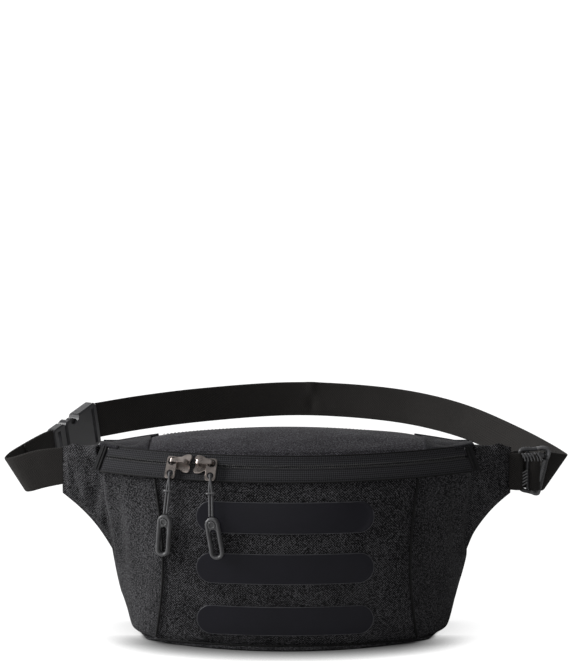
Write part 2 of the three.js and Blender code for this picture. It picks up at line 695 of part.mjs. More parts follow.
function lockWebbing() {
  const bar = LOCK_X + 1.3;
  const middle = LOCK_FRONT_Y + LOCK_DEPTH / 2;
  const anchor = [
    vec(WING_END_X + 1, middle - 1.1, 0), vec(bar - 2, middle - 3, 0), vec(bar + 0.6, middle - 3.2, 0),
    vec(bar + 2.8, middle - 1.8, 0), vec(bar + 2.9, middle, 0), vec(bar + 2.8, middle + 1.8, 0),
    vec(bar + 0.6, middle + 3.2, 0), vec(bar - 2, middle + 3, 0), vec(WING_END_X + 1, middle + 1.1, 0),
  ];
  const loop = addWebbing('anchor_webbing', standingWeb(anchor, 1.2, WEB_WIDTH, 26));
  loop.position.z = LOCK_Z;
  const cross = LOCK_X + 14.1;
  const threaded = [
    vec(cross + 3.5, middle + 5.4, 0), vec(cross + 3.6, middle + 1, 0), vec(cross + 3.2, middle - 3, 0),
    vec(cross + 1.2, middle - 4.4, 0), vec(cross - 1.2, middle - 4.4, 0), vec(cross - 3.2, middle - 3, 0),
    vec(cross - 3.8, middle + 1, 0), vec(cross - 4.4, middle + 4.2, 0), vec(cross - 8, middle + 5.4, 0),
    vec(cross - 16, middle + 6.2, 0),
  ];
  const strap = addWebbing('threaded_strap', standingWeb(threaded, 1.3, WEB_WIDTH, 32));
  strap.position.z = LOCK_Z;
}

bodyPanels();
wings();
inside();
bars();
zip();
pull('left', -1);
pull('right', 1);
buckle();
ladderLock();
shortStrap();
waistStrap();
lockWebbing();

export default object;
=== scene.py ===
import functools
import math

import bpy
import numpy as np
from mathutils import Matrix, Vector


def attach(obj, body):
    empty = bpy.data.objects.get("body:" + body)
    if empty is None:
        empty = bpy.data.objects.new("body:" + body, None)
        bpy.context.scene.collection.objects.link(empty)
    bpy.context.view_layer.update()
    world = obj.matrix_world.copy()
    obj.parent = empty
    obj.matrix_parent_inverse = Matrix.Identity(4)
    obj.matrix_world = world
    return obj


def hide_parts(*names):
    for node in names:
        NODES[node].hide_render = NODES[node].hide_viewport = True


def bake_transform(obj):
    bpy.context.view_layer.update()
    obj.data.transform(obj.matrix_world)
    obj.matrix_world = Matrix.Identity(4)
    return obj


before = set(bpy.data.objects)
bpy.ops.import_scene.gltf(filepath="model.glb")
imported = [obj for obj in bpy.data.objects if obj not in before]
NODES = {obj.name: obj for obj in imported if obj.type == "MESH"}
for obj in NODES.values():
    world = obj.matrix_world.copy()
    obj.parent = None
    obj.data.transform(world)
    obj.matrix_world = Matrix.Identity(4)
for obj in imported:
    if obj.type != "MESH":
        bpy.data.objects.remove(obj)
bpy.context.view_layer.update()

MM = 0.001
ARC_Y = 233.0  # depth of the vertical axis that the front, the zip and the sliders turn about, in mm
TAU = 2 * math.pi
scene = bpy.context.scene


def lerp(a, b, t):
    return a + (b - a) * t


def wave(t):
    return np.sin(np.pi * np.clip(t, 0, 1))


def smooth(t):
    t = np.clip(t, 0, 1)
    return t * t * (3 - 2 * t)


def stack(x, y, z):
    x, y, z = np.broadcast_arrays(x, y, z)
    return np.stack([x, y, z], -1).astype(float)


def on_arc(angle, radius, z):
    return stack(radius * np.sin(angle), ARC_Y - radius * np.cos(angle), z)


# ---- materials

class Shader:
    """One procedural material."""

    def __init__(self, name):
        self.mat = bpy.data.materials.new(name)
        self.mat.use_nodes = True
        self.tree = self.mat.node_tree
        self.bsdf = self.tree.nodes["Principled BSDF"]

    def node(self, kind, **inputs):
        n = self.tree.nodes.new(kind)
        for key, value in inputs.items():
            if hasattr(n, key) and key not in n.inputs:
                setattr(n, key, value)
            else:
                self.feed(n, key, value)
        return n

    def feed(self, n, key, value):
        socket = n.inputs[key]
        if isinstance(value, bpy.types.NodeSocket):
            self.tree.links.new(value, socket)
        else:
            socket.default_value = value

    def math(self, op, a, b=0.0, clamp=False):
        n = self.node("ShaderNodeMath", operation=op, use_clamp=clamp)
        self.feed(n, 0, a)
        self.feed(n, 1, b)
        return n.outputs[0]

    def ripple(self, value, pitch):
        """A sine of value with the given wavelength, from 0 to 1."""
        return self.add(self.mul(self.sine(value, TAU / pitch), 0.5), 0.5)

    def total(self, *terms):
        """The sum of (value, weight) pairs."""
        return functools.reduce(self.add, [self.mul(value, weight) for value, weight in terms])

    def mottled(self, grain, scale, amount):
        """grain with soft cloudy patches added to it."""
        patch = self.math("SUBTRACT", self.noise(self.obj(), scale, 3.0), 0.5)
        return self.add(grain, self.mul(patch, amount))

    def add(self, a, b):
        return self.math("ADD", a, b)

    def mul(self, a, b):
        return self.math("MULTIPLY", a, b)

    def sine(self, value, rate):
        return self.math("SINE", self.mul(value, rate))

    def uv(self):
        n = self.node("ShaderNodeUVMap", uv_map="mm")
        s = self.node("ShaderNodeSeparateXYZ", Vector=n.outputs[0])
        return s.outputs[0], s.outputs[1], n.outputs[0]

    def obj(self):
        return self.tree.nodes.new("ShaderNodeTexCoord").outputs["Object"]

    def noise(self, vector, scale, detail=4.0, rough=0.6):
        return self.node("ShaderNodeTexNoise", Scale=scale, Detail=detail, Roughness=rough,
                         Vector=vector).outputs[0]

    def ramp(self, value, stops):
        n = self.node("ShaderNodeValToRGB")
        ramp = n.color_ramp
        while len(ramp.elements) < len(stops):
            ramp.elements.new(0.5)
        for e, (at, colour) in zip(ramp.elements, stops):
            e.position = at
            e.color = (*colour, 1) if isinstance(colour, tuple) else (*[colour] * 3, 1)
        self.feed(n, 0, value)
        return n.outputs[0]

    def mix(self, factor, a, b):
        n = self.node("ShaderNodeMix", data_type="RGBA")
        self.feed(n, 0, factor)
        for index, value in ((6, a), (7, b)):
            if isinstance(value, tuple):
                value = (*value, 1)
            self.feed(n, index, value)
        return n.outputs[2]

    def bump(self, height, strength, distance, normal=None):
        n = self.node("ShaderNodeBump", Strength=strength, Distance=distance, Height=height)
        if normal is not None:
            self.feed(n, "Normal", normal)
        return n.outputs[0]

    def set(self, **values):
        for key, value in values.items():
            self.feed(self.bsdf, key.replace("_", " "), value)
        return self.mat


def weave(name, dark, light, pitch, depth=0.5, sheen=0.03):
    """Woven cloth: interlaced yarns at a pitch in mm, slubs in the yarn, soft mottling and a fibre sheen."""
    s = Shader(name)
    u, v, uv = s.uv()
    wobble = s.mul(s.noise(uv, 0.25, 2.0), 1.2)
    warp, weft = (s.math("SINE", s.add(s.mul(way, TAU / pitch), wobble)) for way in (u, v))
    height = s.add(s.mul(s.mul(warp, weft), 0.5), 0.5)
    slub = s.noise(s.obj(), 1800 / pitch, 3.0, 0.6)
    grain = s.total((height, 0.5), (s.math("SUBTRACT", slub, 0.35), 1.7))
    tone = s.mottled(grain, 26.0, 0.3)
    colour = s.ramp(tone, [(0.38, dark), (0.54, lerp_colour(dark, light, 0.2)), (0.74, light)])
    fold = s.bump(s.noise(s.obj(), 55.0, 4.0), 0.25, 0.002)
    normal = s.bump(grain, depth, 0.0006, fold)
    return s.set(Base_Color=colour, Roughness=0.9, Normal=normal, Sheen_Weight=sheen, Sheen_Roughness=0.5,
                 Specular_IOR_Level=0.1)


def lerp_colour(a, b, t):
    return tuple(x + (y - x) * t for x, y in zip(a, b))


def scaled(colour, factor):
    return tuple(c * factor for c in colour)


def webbing(name, dark, light, pitch=1.5):
    """Herringbone webbing: twill that changes direction every few yarns, with a tight edge."""
    s = Shader(name)
    u, v, uv = s.uv()
    zig = s.math("PINGPONG", v, 5.0)
    ribs = s.ripple(s.add(u, zig), pitch)
    cross = s.ripple(v, 0.9)
    grain = s.total((ribs, 0.4), (cross, 0.2), (s.noise(uv, 1.2, 4.0, 0.7), 0.5))
    colour = s.ramp(s.mottled(grain, 18.0, 0.3), [(0.25, dark), (0.95, light)])
    return s.set(Base_Color=colour, Roughness=0.82, Normal=s.bump(grain, 0.45, 0.0005),
                 Sheen_Weight=0.03, Specular_IOR_Level=0.12)


def moulded(name, colour, rough, speckle=0.2, bump=0.12, metallic=0.0):
    """Moulded plastic, rubber or cast metal: fine texture, handling marks, slightly uneven gloss."""
    s = Shader(name)
    where = s.obj()
    fine = s.noise(where, 2600.0, 3.0)
    broad = s.noise(where, 120.0, 4.0)
    scuff = s.noise(where, 900.0, 6.0, 0.8)
    tone = s.ramp(broad, [(0.3, scaled(colour, 1 - speckle)), (0.75, scaled(colour, 1 + speckle))])
    # lighter scuffed spots from handling, real wear
    worn_and_painted_highlight = s.ramp(scuff, [(0.62, 0.0), (0.8, 0.35)])
    base = s.mix(worn_and_painted_highlight, tone, tuple(min(c * 1.7 + 0.01, 1) for c in colour))
    roughness = s.math("ADD", s.mul(s.math("SUBTRACT", broad, 0.5), 0.35), rough, True)
    return s.set(Base_Color=base, Roughness=roughness, Metallic=metallic, Normal=s.bump(fine, bump, 0.0002))


def film(name):
    """Printed film: smooth and a little glossy, with the cloth below just telling through."""
    s = Shader(name)
    u, v, uv = s.uv()
    cloth = s.mul(s.sine(u, 4.4), s.sine(v, 4.4))
    cloud = s.noise(s.obj(), 30.0, 4.0)
    speck = s.noise(uv, 1.6, 6.0, 0.8)
    colour = s.ramp(s.total((cloud, 0.7), (speck, 0.3)),
                    [(0.3, (0.006, 0.0058, 0.0095)), (0.7, (0.0105, 0.0102, 0.0155))])
    rough = s.ramp(cloud, [(0.3, 0.4), (0.7, 0.52)])
    return s.set(Base_Color=colour, Roughness=rough, Normal=s.bump(cloth, 0.06, 0.0003),
                 Specular_IOR_Level=0.2)


def zip_ribs(name):
    """Reverse-coil zip tape: fine ribs across the tape."""
    s = Shader(name)
    u, v, uv = s.uv()
    grain = s.total((s.ripple(u, 1.5), 0.3), (s.ripple(v, 1.7), 0.3), (s.noise(uv, 1.4, 4.0, 0.7), 0.5))
    colour = s.ramp(grain, [(0.3, (0.007, 0.007, 0.008)), (0.95, (0.054, 0.054, 0.059))])
    return s.set(Base_Color=colour, Roughness=0.8, Normal=s.bump(grain, 0.6, 0.0006),
                 Specular_IOR_Level=0.12)


def thread(name, colour):
    """Twisted or felted yarn in one colour, lighter and darker along its twist."""
    s = Shader(name)
    twist = s.noise(s.obj(), 1800.0, 3.0)
    tone = s.ramp(twist, [(0.3, scaled(colour, 0.6)), (0.8, scaled(colour, 1.5))])
    return s.set(Base_Color=tone, Roughness=0.7, Normal=s.bump(twist, 0.3, 0.0002), Specular_IOR_Level=0.3)


MAT = {
    "pack": weave("pack_cloth", (0.002, 0.002, 0.0024), (0.093, 0.092, 0.098), 1.9, 0.7),
    "yoke": weave("yoke_cloth", (0.006, 0.0055, 0.0075), (0.07, 0.067, 0.077), 2.0, 0.4, sheen=0.06),
    "lining": weave("lining_cloth", (0.005, 0.0048, 0.006), (0.042, 0.041, 0.047), 1.3, 0.3),
    "mesh": weave("back_mesh", (0.002, 0.002, 0.002), (0.05, 0.05, 0.053), 2.6, 0.9),
    "inner": thread("inner_cloth", (0.012, 0.012, 0.014)),
    "foam": moulded("foam_cells", (0.09, 0.09, 0.095), 0.9, 0.15, 0.5),
    "web": webbing("belt_webbing", (0.0045, 0.0042, 0.004), (0.041, 0.038, 0.036)),
    "hem": webbing("hem_tape", (0.004, 0.004, 0.0045), (0.026, 0.026, 0.028), 1.1),
    "film": film("bar_film"),
    # bar_rim: about three times lighter than the film, a painted highlight along the bars' raised rims
    "rim": moulded("bar_rim", (0.03, 0.03, 0.036), 0.35, 0.3, 0.05),
    "zip": zip_ribs("zip_tape"),
    "coil": moulded("coil_nylon", (0.02, 0.02, 0.021), 0.42, 0.25, 0.05),
    "thread": thread("stitch_thread", (0.022, 0.022, 0.024)),
    "cord": thread("cord_braid", (0.088, 0.088, 0.092)),
    # seam_shadow: near-black painted shade, laid in the seams' grooves, between the cord's strands and round
    # the tab's window
    "gap": thread("seam_shadow", (0.001, 0.001, 0.0012)),
    "metal": moulded("slider_nickel", (0.43, 0.38, 0.355), 0.3, 0.1, 0.01, 1.0),
    "rubber": moulded("grip_rubber", (0.08, 0.08, 0.083), 0.34, 0.2, 0.08),
    # lock_plastic: the lock's own plastic painted about three times lighter than the buckle's, a painted
    # highlight on its hook, lip, foot and ribs
    "worn_and_painted_highlight": moulded("lock_plastic", (0.11, 0.11, 0.115), 0.3, 0.15, 0.05),
    "plastic": moulded("buckle_plastic", (0.036, 0.036, 0.039), 0.38, 0.15, 0.08),
}


# ---- mesh builders

def make_mesh(name, points, faces, uvs, mat):
    """An object from points in millimetres; uvs is its flat pattern, also in millimetres, for the weaves."""
    mesh = bpy.data.meshes.new(name)
    mesh.from_pydata((np.asarray(points) * MM).tolist(), [], faces)
    if uvs is not None:
        layer = mesh.uv_layers.new(name="mm")
        index = np.empty(len(mesh.loops), dtype=np.int32)
        mesh.loops.foreach_get("vertex_index", index)
        layer.data.foreach_set("uv", np.asarray(uvs, dtype=np.float32)[index].ravel())
    mesh.polygons.foreach_set("use_smooth", [True] * len(mesh.polygons))
    mesh.update()
    obj = bpy.data.objects.new(name, mesh)
    scene.collection.objects.link(obj)
    mesh.materials.append(MAT[mat])
    return obj


def spaced(n, length, edge):
    """Parameter values 0..1, closer together within edge millimetres of each end."""
    e = min(edge / max(length, 1e-6), 0.2)
    ends = e * (1 - np.cos(np.linspace(0, np.pi / 2, 6)))
    middle = np.linspace(e, 1 - e, max(n, 2))[1:-1]
    return np.concatenate([ends, middle, 1 - ends[::-1]])


def unit(vectors):
    return vectors / np.linalg.norm(vectors, axis=-1, keepdims=True)


def circle(count):
    """Angles spread evenly round a circle."""
    return np.linspace(0, 2 * np.pi, count, endpoint=False)


def normals(surface, u, v):
    """Unit normals of surface(u, v), from small steps along u and v."""
    eps = 1e-3
    du = surface(np.clip(u + eps, 0, 1), v) - surface(np.clip(u - eps, 0, 1), v)
    dv = surface(u, np.clip(v + eps, 0, 1)) - surface(u, np.clip(v - eps, 0, 1))
    n = np.cross(du, dv)
    return n / np.maximum(np.linalg.norm(n, axis=-1, keepdims=True), 1e-9)


def rolled(near):
    """How far a rim has rolled over, from 1 on the edge to 0 where near reaches 1."""
    return 1 - np.sqrt(np.clip(1 - (1 - np.clip(near, 0, 1)) ** 2, 0, 1))


def two_faces(rows, cols):
    """Faces of a closed sheet: a grid of outer points, the same grid of inner points, and the rim between."""
    k = rows * cols
    i = np.arange(k).reshape(rows, cols)
    q = np.stack([i[:-1, :-1], i[:-1, 1:], i[1:, 1:], i[1:, :-1]], -1).reshape(-1, 4)
    rim = [np.stack([line[:-1], line[:-1] + k, line[1:] + k, line[1:]], -1)
           for line in (i[0, :], i[:, -1], i[-1, ::-1], i[::-1, 0])]
    return np.concatenate([q, q[:, ::-1] + k] + rim)


def two_sided(name, outer, inner, flat_u, flat_v, mat):
    uvs = np.stack([flat_u, flat_v], -1).reshape(-1, 2)
    faces = two_faces(*flat_u.shape).tolist()
    return make_mesh(name, np.concatenate([outer, inner]).reshape(-1, 3), faces, np.tile(uvs, (2, 1)), mat)


def bead_faces(rings, base):
    """Faces of a bead made of rings of six points, closed at both ends; base is its first point."""
    faces = []
    for r in range(rings - 1):
        for k in range(6):
            m = (k + 1) % 6
            at = base + r * 6
            faces.append((at + k, at + m, at + 6 + m, at + 6 + k))
    faces.append(tuple(base + k for k in range(6))[::-1])
    faces.append(tuple(base + (rings - 1) * 6 + k for k in range(6)))
    return faces


def sheet(name, surface, nu, nv, thick, mat, relief=None, edge=2.0, lift=0.0, size=None):
    """Cloth of some thickness over surface(u, v), its rim rolled over within edge millimetres. relief(u, v)
    moves the outer face along its normal, in mm."""
    a, b, c, d = (surface(np.array([[x]]), np.array([[y]]))[0, 0]
                  for x, y in ((0, 0.5), (1, 0.5), (0.5, 0), (0.5, 1)))
    length, height = size or (np.linalg.norm(b - a), np.linalg.norm(d - c))
    u, v = np.meshgrid(spaced(nu, length, edge), spaced(nv, height, edge))
    p = surface(u, v)
    n = normals(surface, u, v)
    near = np.minimum(np.minimum(u, 1 - u) * length, np.minimum(v, 1 - v) * height)
    roll = rolled(near / edge)
    offset = lift - roll * thick * 0.5
    if relief is not None:
        offset = offset + relief(u, v) * (1 - roll)
    outer = p + n * offset[..., None]
    inner = p + n * (lift - thick + roll * thick * 0.49)[..., None]
    return two_sided(name, outer, inner, u * length, v * height, mat)


def panel(slot, node, name, surface, nu, nv, *shape, **more):
    """A sheet that rides on the pack in place of a CAD node."""
    place(sheet(name, surface, nu, nv, *shape, **more), "pack", slot, node)


def mirror_of(surface):
    """The same surface on the other side, u reversed so that it still faces outwards."""
    def other(u, v):
        p = surface(1 - u, v)
        p[..., 0] *= -1
        return p
    return other


def spline(points):
    """Centripetal Catmull-Rom through points, as a function of 0..1."""
    pts = np.asarray(points, float)
    first, last = 2 * pts[0] - pts[1], 2 * pts[-1] - pts[-2]
    ctrl = np.vstack([first, pts, last])
    knots = np.concatenate([[0], np.cumsum(np.sqrt(np.linalg.norm(np.diff(ctrl, axis=0), axis=1)))])

    def at(t):
        t = np.clip(np.asarray(t, float), 0, 1) * (len(pts) - 1)
        k = np.minimum(t.astype(int), len(pts) - 2)
        f = t - k
        (t0, t1, t2, t3), (p0, p1, p2, p3) = ([row[k + j] for j in range(4)] for row in (knots, ctrl))
        x = t1 + f * (t2 - t1)

        def mix(a, b, ta, tb):
            w = ((x - ta) / (tb - ta))[..., None]
            return a * (1 - w) + b * w
        a1, a2, a3 = mix(p0, p1, t0, t1), mix(p1, p2, t1, t2), mix(p2, p3, t2, t3)
        b1, b2 = mix(a1, a2, t0, t2), mix(a2, a3, t1, t3)
        return mix(b1, b2, t1, t2)
    return at


def even(curve, n=400):
    """The same curve with its parameter spread evenly along its length."""
    t = np.linspace(0, 1, n)
    p = curve(t)
    s = np.concatenate([[0], np.cumsum(np.linalg.norm(np.diff(p, axis=0), axis=1))])
    return (lambda x: curve(np.interp(np.asarray(x, float), s / s[-1], t))), s[-1]


def tube(name, points, radius, mat, sides, closed=False):
    """A round cord through points, its last point joined to its first when closed."""
    p = np.asarray(points, float)
    t = np.gradient(p, axis=0)
    if closed:
        t = np.roll(p, -1, 0) - np.roll(p, 1, 0)
    t = unit(t)
    a = unit(np.cross(t, np.array([0.0, 1.0, 0.13])))
    b = np.cross(t, a)
    ang = circle(sides)
    ring = a[:, None] * np.cos(ang)[None, :, None] + b[:, None] * np.sin(ang)[None, :, None]
    pts = (p[:, None] + ring * radius).reshape(-1, 3)
    n, faces = len(p), []
    for i in range(n if closed else n - 1):
        a, b = i * sides, (i + 1) % n * sides
        for k in range(sides):
            m = (k + 1) % sides
            faces.append((a + k, a + m, b + m, b + k))
    if not closed:
        faces.append(tuple(range(sides))[::-1])
        faces.append(tuple((n - 1) * sides + k for k in range(sides)))
    return make_mesh(name, pts, faces, None, mat)


def stitches(name, line, outward):
    """A row of lock stitches along line(t), each a small dimpled bead lying on the cloth."""
    pitch, length, radius = 2.9, 2.1, 0.28
    curve, total = even(line)
    count = max(int(total / pitch), 1)
    t = (np.arange(count) + 0.5) / count
    p = curve(t)
    d = unit(curve(np.clip(t + 0.002, 0, 1)) - curve(np.clip(t - 0.002, 0, 1)))
    o = unit(np.asarray(outward(t) if callable(outward) else np.broadcast_to(outward, p.shape), float))
    s = np.cross(d, o)
    profile = [(-1, 0.1, -0.6), (-0.6, 0.85, 0.25), (0, 1, 0.5), (0.6, 0.85, 0.25), (1, 0.1, -0.6)]
    pts, faces = [], []
    for i in range(count):
        faces += bead_faces(len(profile), len(pts))
        for a, w, h in profile:
            centre = p[i] + d[i] * a * length / 2 + o[i] * h * radius
            for g in circle(6):
                pts.append(centre + (s[i] * np.cos(g) + o[i] * np.sin(g)) * radius * w)
    place(make_mesh(name, pts, faces, None, "thread"), "pack", "webbing")


def swirl(u, v, seed, amount, low=0.6, high=4.0):
    """Seeded soft noise over u and v, for the small unevenness of stuffed cloth."""
    count = 14
    rng = np.random.default_rng(seed)
    total = np.zeros(np.broadcast(u, v).shape)
    for _ in range(count):
        fu, fv = rng.uniform(low, high, 2) * rng.choice([-1, 1], 2)
        size = rng.normal() / (abs(fu) + abs(fv))
        total = total + size * np.sin(TAU * (fu * u + fv * v) + rng.uniform(0, 6.283))
    return total * amount / math.sqrt(count)


def ridge(u, v, start, end, width, height, aspect=1.0, full=0.0):
    """A soft crease between two points of a surface, in its own u and v, fading at its ends unless full."""
    p = np.array(start)
    q = np.array(end)
    d = q - p
    t = np.clip(((u - p[0]) * d[0] + (v - p[1]) * d[1]) / (d @ d), 0, 1)
    dist = np.hypot((u - p[0] - t * d[0]) * aspect, v - p[1] - t * d[1])
    return height * np.exp(-(dist / width) ** 2) * np.maximum(wave(0.12 + 0.76 * t), full)


def ridges(u, v, aspect, *rows):
    """The sum of several creases, each given by its two ends, its width and its height."""
    return sum(ridge(u, v, row[0:2], row[2:4], row[4], row[5], aspect) for row in rows)


# ---- shape of the pack, in millimetres

FOOT_R, TOP_R, BULGE = 275.0, 274.6, 7.0  # radius of the front at its foot and top, and its swell between
FOOT_Z, TOP_Z = 3.0, 131.0  # heights of the front panel's foot and top
PANEL_HALF, WAIST = 101.0, 6.5  # half width of the front panel, and how far its seams come in at mid height
LOW_R, LOW_Z, HIGH_R, HIGH_Z = 274.6, 131.5, 263.2, 147.9  # lower and upper edge of the zip band
HALF = math.radians(31.7)  # half the zip's arc
BACK_Y = 38.0  # depth of the back panel
SHELL = 2.0  # thickness of the padded cloth
YOKE_HALF = 107.0  # half width of the top yoke
SEAM = 0.35 / TOP_R  # overlap of two panels at a seam, as an angle
SIDES = (("right", 1), ("left", -1))


def front_r(t):
    return lerp(FOOT_R, TOP_R, t) + BULGE * wave(t)


def front_half(t):
    return np.arcsin((PANEL_HALF - WAIST * wave(t)) / front_r(t))


def front_at(u, v):
    half = front_half(v) + SEAM
    return on_arc(lerp(-half, half, u), front_r(v), lerp(FOOT_Z, TOP_Z, v))


def front_relief(u, v):
    edge = (1 - (2 * u - 1) ** 12) * (1 - (2 * v - 1) ** 10)
    bag = 1.6 * edge - 1.4
    puckers = 0.5 * np.sin(u * 61 + 3 * np.sin(u * 17)) * np.exp(-(1 - v) / 0.05)
    foot = 0.5 * np.sin(u * 37 + 2) * np.exp(-v / 0.05)
    folds = ridges(u, v, 1.5, (0.86, 0.98, 0.83, 0.62, 0.035, 1.1), (0.94, 0.95, 0.97, 0.5, 0.03, 0.8),
                   (0.90, 0.9, 0.9, 0.45, 0.03, -0.9), (0.06, 0.95, 0.03, 0.5, 0.03, 0.9),
                   (0.02, 0.06, 0.2, 0.03, 0.03, 0.6))
    return bag + puckers + foot + folds + swirl(u, v, 3, 0.55)


def bezier(p0, p1, p2, p3, t):
    t = np.asarray(t)[..., None]
    return (1 - t) ** 3 * p0 + 3 * (1 - t) ** 2 * t * p1 + 3 * (1 - t) * t * t * p2 + t ** 3 * p3


ZIP_END = on_arc(HALF - 0.004, LOW_R, TOP_Z - 0.5)


def gusset_rear(v):
    p0, p1, p2 = np.array([121.5, 33, 3.0]), np.array([138, 37, 26.0]), np.array([148, 36, 78.0])
    return bezier(p0, p1, p2, ZIP_END, v)


def gusset_at(u, v):
    front = on_arc(front_half(v) - SEAM, front_r(v), lerp(FOOT_Z, TOP_Z - 0.5, v))
    rear = gusset_rear(v) + stack(1.2 * (1 - v), 2.2 * (1 - smooth(v * 1.3)), 0 * v)
    w = u[..., None]
    bow = 5 * wave(u) * (1 - v ** 1.5)
    return front * (1 - w) + rear * w + stack(bow, -bow, 0 * bow)


def crease(u, v, line, width, height):
    """A ridge along a line of several points of a surface."""
    parts = [ridge(u, v, p, q, width, 1.0, 0.6, 1.0) for p, q in zip(line, line[1:])]
    return np.maximum.reduce(parts) * height


def gusset_relief(u, v):
    edge = (1 - (2 * u - 1) ** 8) * (1 - (2 * v - 1) ** 10)
    lip = [(0.95, 0.95), (0.885, 0.8), (0.86, 0.68), (0.88, 0.56), (0.94, 0.46)]
    fold = crease(u, v, lip, 0.045, 1.5) - crease(u, v, [(p + 0.06, q) for p, q in lip], 0.04, 1.6)
    soft = ridges(u, v, 0.9, (0.5, 0.96, 0.56, 0.3, 0.1, 1.5), (0.68, 0.96, 0.7, 0.4, 0.08, -0.9))
    foot = 3.2 * wave(u) * (1 - smooth(v / 0.22))
    uneven = swirl(u, v, 11, 0.35, low=0.4, high=2.2)
    return 1.5 * edge - 1.3 + foot + fold * smooth((1 - u) / 0.04) + soft * edge + uneven


def fuller(p):
    """Pulls the left flank in at mid height and lets the right one out low down, but not the wings' ends."""
    x, z = p[..., 0], p[..., 2]
    low, middle = 1 - smooth((z - 2) / 32), 1 - smooth((z - 52) / 24)
    reach = smooth((np.abs(x) - 96) / 34) * smooth((180 - np.abs(x)) / 30)
    shift = np.where(x > 0, 2.8 * low + 3.4 * middle, 2.4 * wave((z - 24) / 82)) * reach
    return p + stack(shift, 0 * shift, 0 * shift)


def fuller_of(surface):
    return lambda u, v: fuller(surface(u, v))


def crown(x):
    """Height of the back's top edge."""
    return lerp(158.5, 150.5, (np.abs(x) / YOKE_HALF) ** 2)


def back_half(z):
    return lerp(121.5, 141.5, np.sin(np.minimum(z / 63.0, 1) * np.pi / 2)) - 1


def back_at(u, v):
    half = back_half(FOOT_Z + v * (TOP_Z - FOOT_Z))
    x = lerp(half, -half, u)
    return stack(x, BACK_Y, v * (np.maximum(crown(x), 146.0) - 0.3 - FOOT_Z) + FOOT_Z)


def back_relief(u, v):
    edge = (1 - (2 * u - 1) ** 10) * (1 - (2 * v - 1) ** 10)
    channel = sum(-2.4 * np.exp(-((u - c) / 0.012) ** 2) for c in (0.27, 0.73))
    channel = channel * smooth(v / 0.08) * smooth((1 - v) / 0.08)
    pads = 1.2 * wave((u - 0.27) / 0.46) * wave(v)
    return 1.6 * edge - 1.4 + (channel + pads) * edge + swirl(u, v, 21, 0.6)


def base_at(u, v):
    """The flat underside, turned up in a quarter round where it meets the front."""
    flat = 0.72
    half = lerp(119.5, 100, v * v)
    x = lerp(-half, half, u)
    turn = np.clip((v - flat) / (1 - flat), 0, 1) * np.pi / 2
    edge = ARC_Y - np.sqrt(270.5 ** 2 - x * x)
    lip = 7.6 * np.maximum(1 - (x / 99) ** 2, 0) ** 0.7 * wave((v - 0.6) / 0.4)
    y = np.where(v < flat, lerp(33.0, edge, v / flat), edge - 3.6 * np.sin(turn)) - lip
    return stack(x, y, 0.3 + 3.2 * (1 - np.cos(turn)))


def band_back(x):
    return ARC_Y - np.sqrt((HIGH_R - 0.5) ** 2 - x * x)


def top_at(start, end):
    """The top between two x, from the zip's upper edge to the back."""
    def surface(u, v):
        x = lerp(start, end, u)
        shoulder = 150.5 + 8 * (1 - np.abs(x) / YOKE_HALF)
        rear = np.where(np.abs(x) < YOKE_HALF, crown(x), np.minimum(crown(x), shoulder))
        z = lerp(HIGH_Z, rear, v) + 3.2 * wave(v) ** 0.7 + 0.6
        return stack(x, lerp(band_back(x), BACK_Y - 2, v), z)
    return surface


def yoke_relief(u, v):
    edge = (1 - (2 * u - 1) ** 14) * (1 - (2 * v - 1) ** 8)
    puckers = 0.3 * np.sin(u * 47) * np.exp(-v / 0.08)
    return 1.8 * edge - 1.6 + swirl(u, v, 31, 0.8, low=0.5, high=3) + puckers


def corner_relief(u, v):
    return -2.6 * wave(u) * wave(v) + swirl(u, v, 33, 0.5)


def wing_front_at(u, v):
    inner = stack(lerp(145, 148, v), lerp(33, 9.5, v), lerp(62, 149, v))
    outer = stack(177.5, 31, lerp(105.5, 142.5, v))
    sag = 6 * wave(u) * (1 - v)
    tuck = 0.24 * (1 - smooth((v - 0.6) / 0.36))
    w = lerp(-tuck, 1, u)[..., None]
    return inner * (1 - w) + outer * w + stack(0 * u, -2 * wave(u), sag)


def wing_back_at(u, v):
    inner = stack(139, 38, lerp(56, 145, v))
    outer = stack(177.5, 36, lerp(105.5, 142.5, v))
    sag = 6 * wave(u) * (1 - v)
    w = u[..., None]
    return outer * (1 - w) + inner * w + stack(0 * u, 0 * u, sag)


def on_band(angle, share, out=0.0, up=0.0):
    """A point of the zip band: share 0 is its lower edge and 1 its upper edge."""
    return on_arc(angle, lerp(LOW_R, HIGH_R, share) + out, lerp(LOW_Z, HIGH_Z, share) + up)


def band_at(low, high, half=HALF):
    return lambda u, v: on_band(lerp(-half, half, u), lerp(low, high, v))


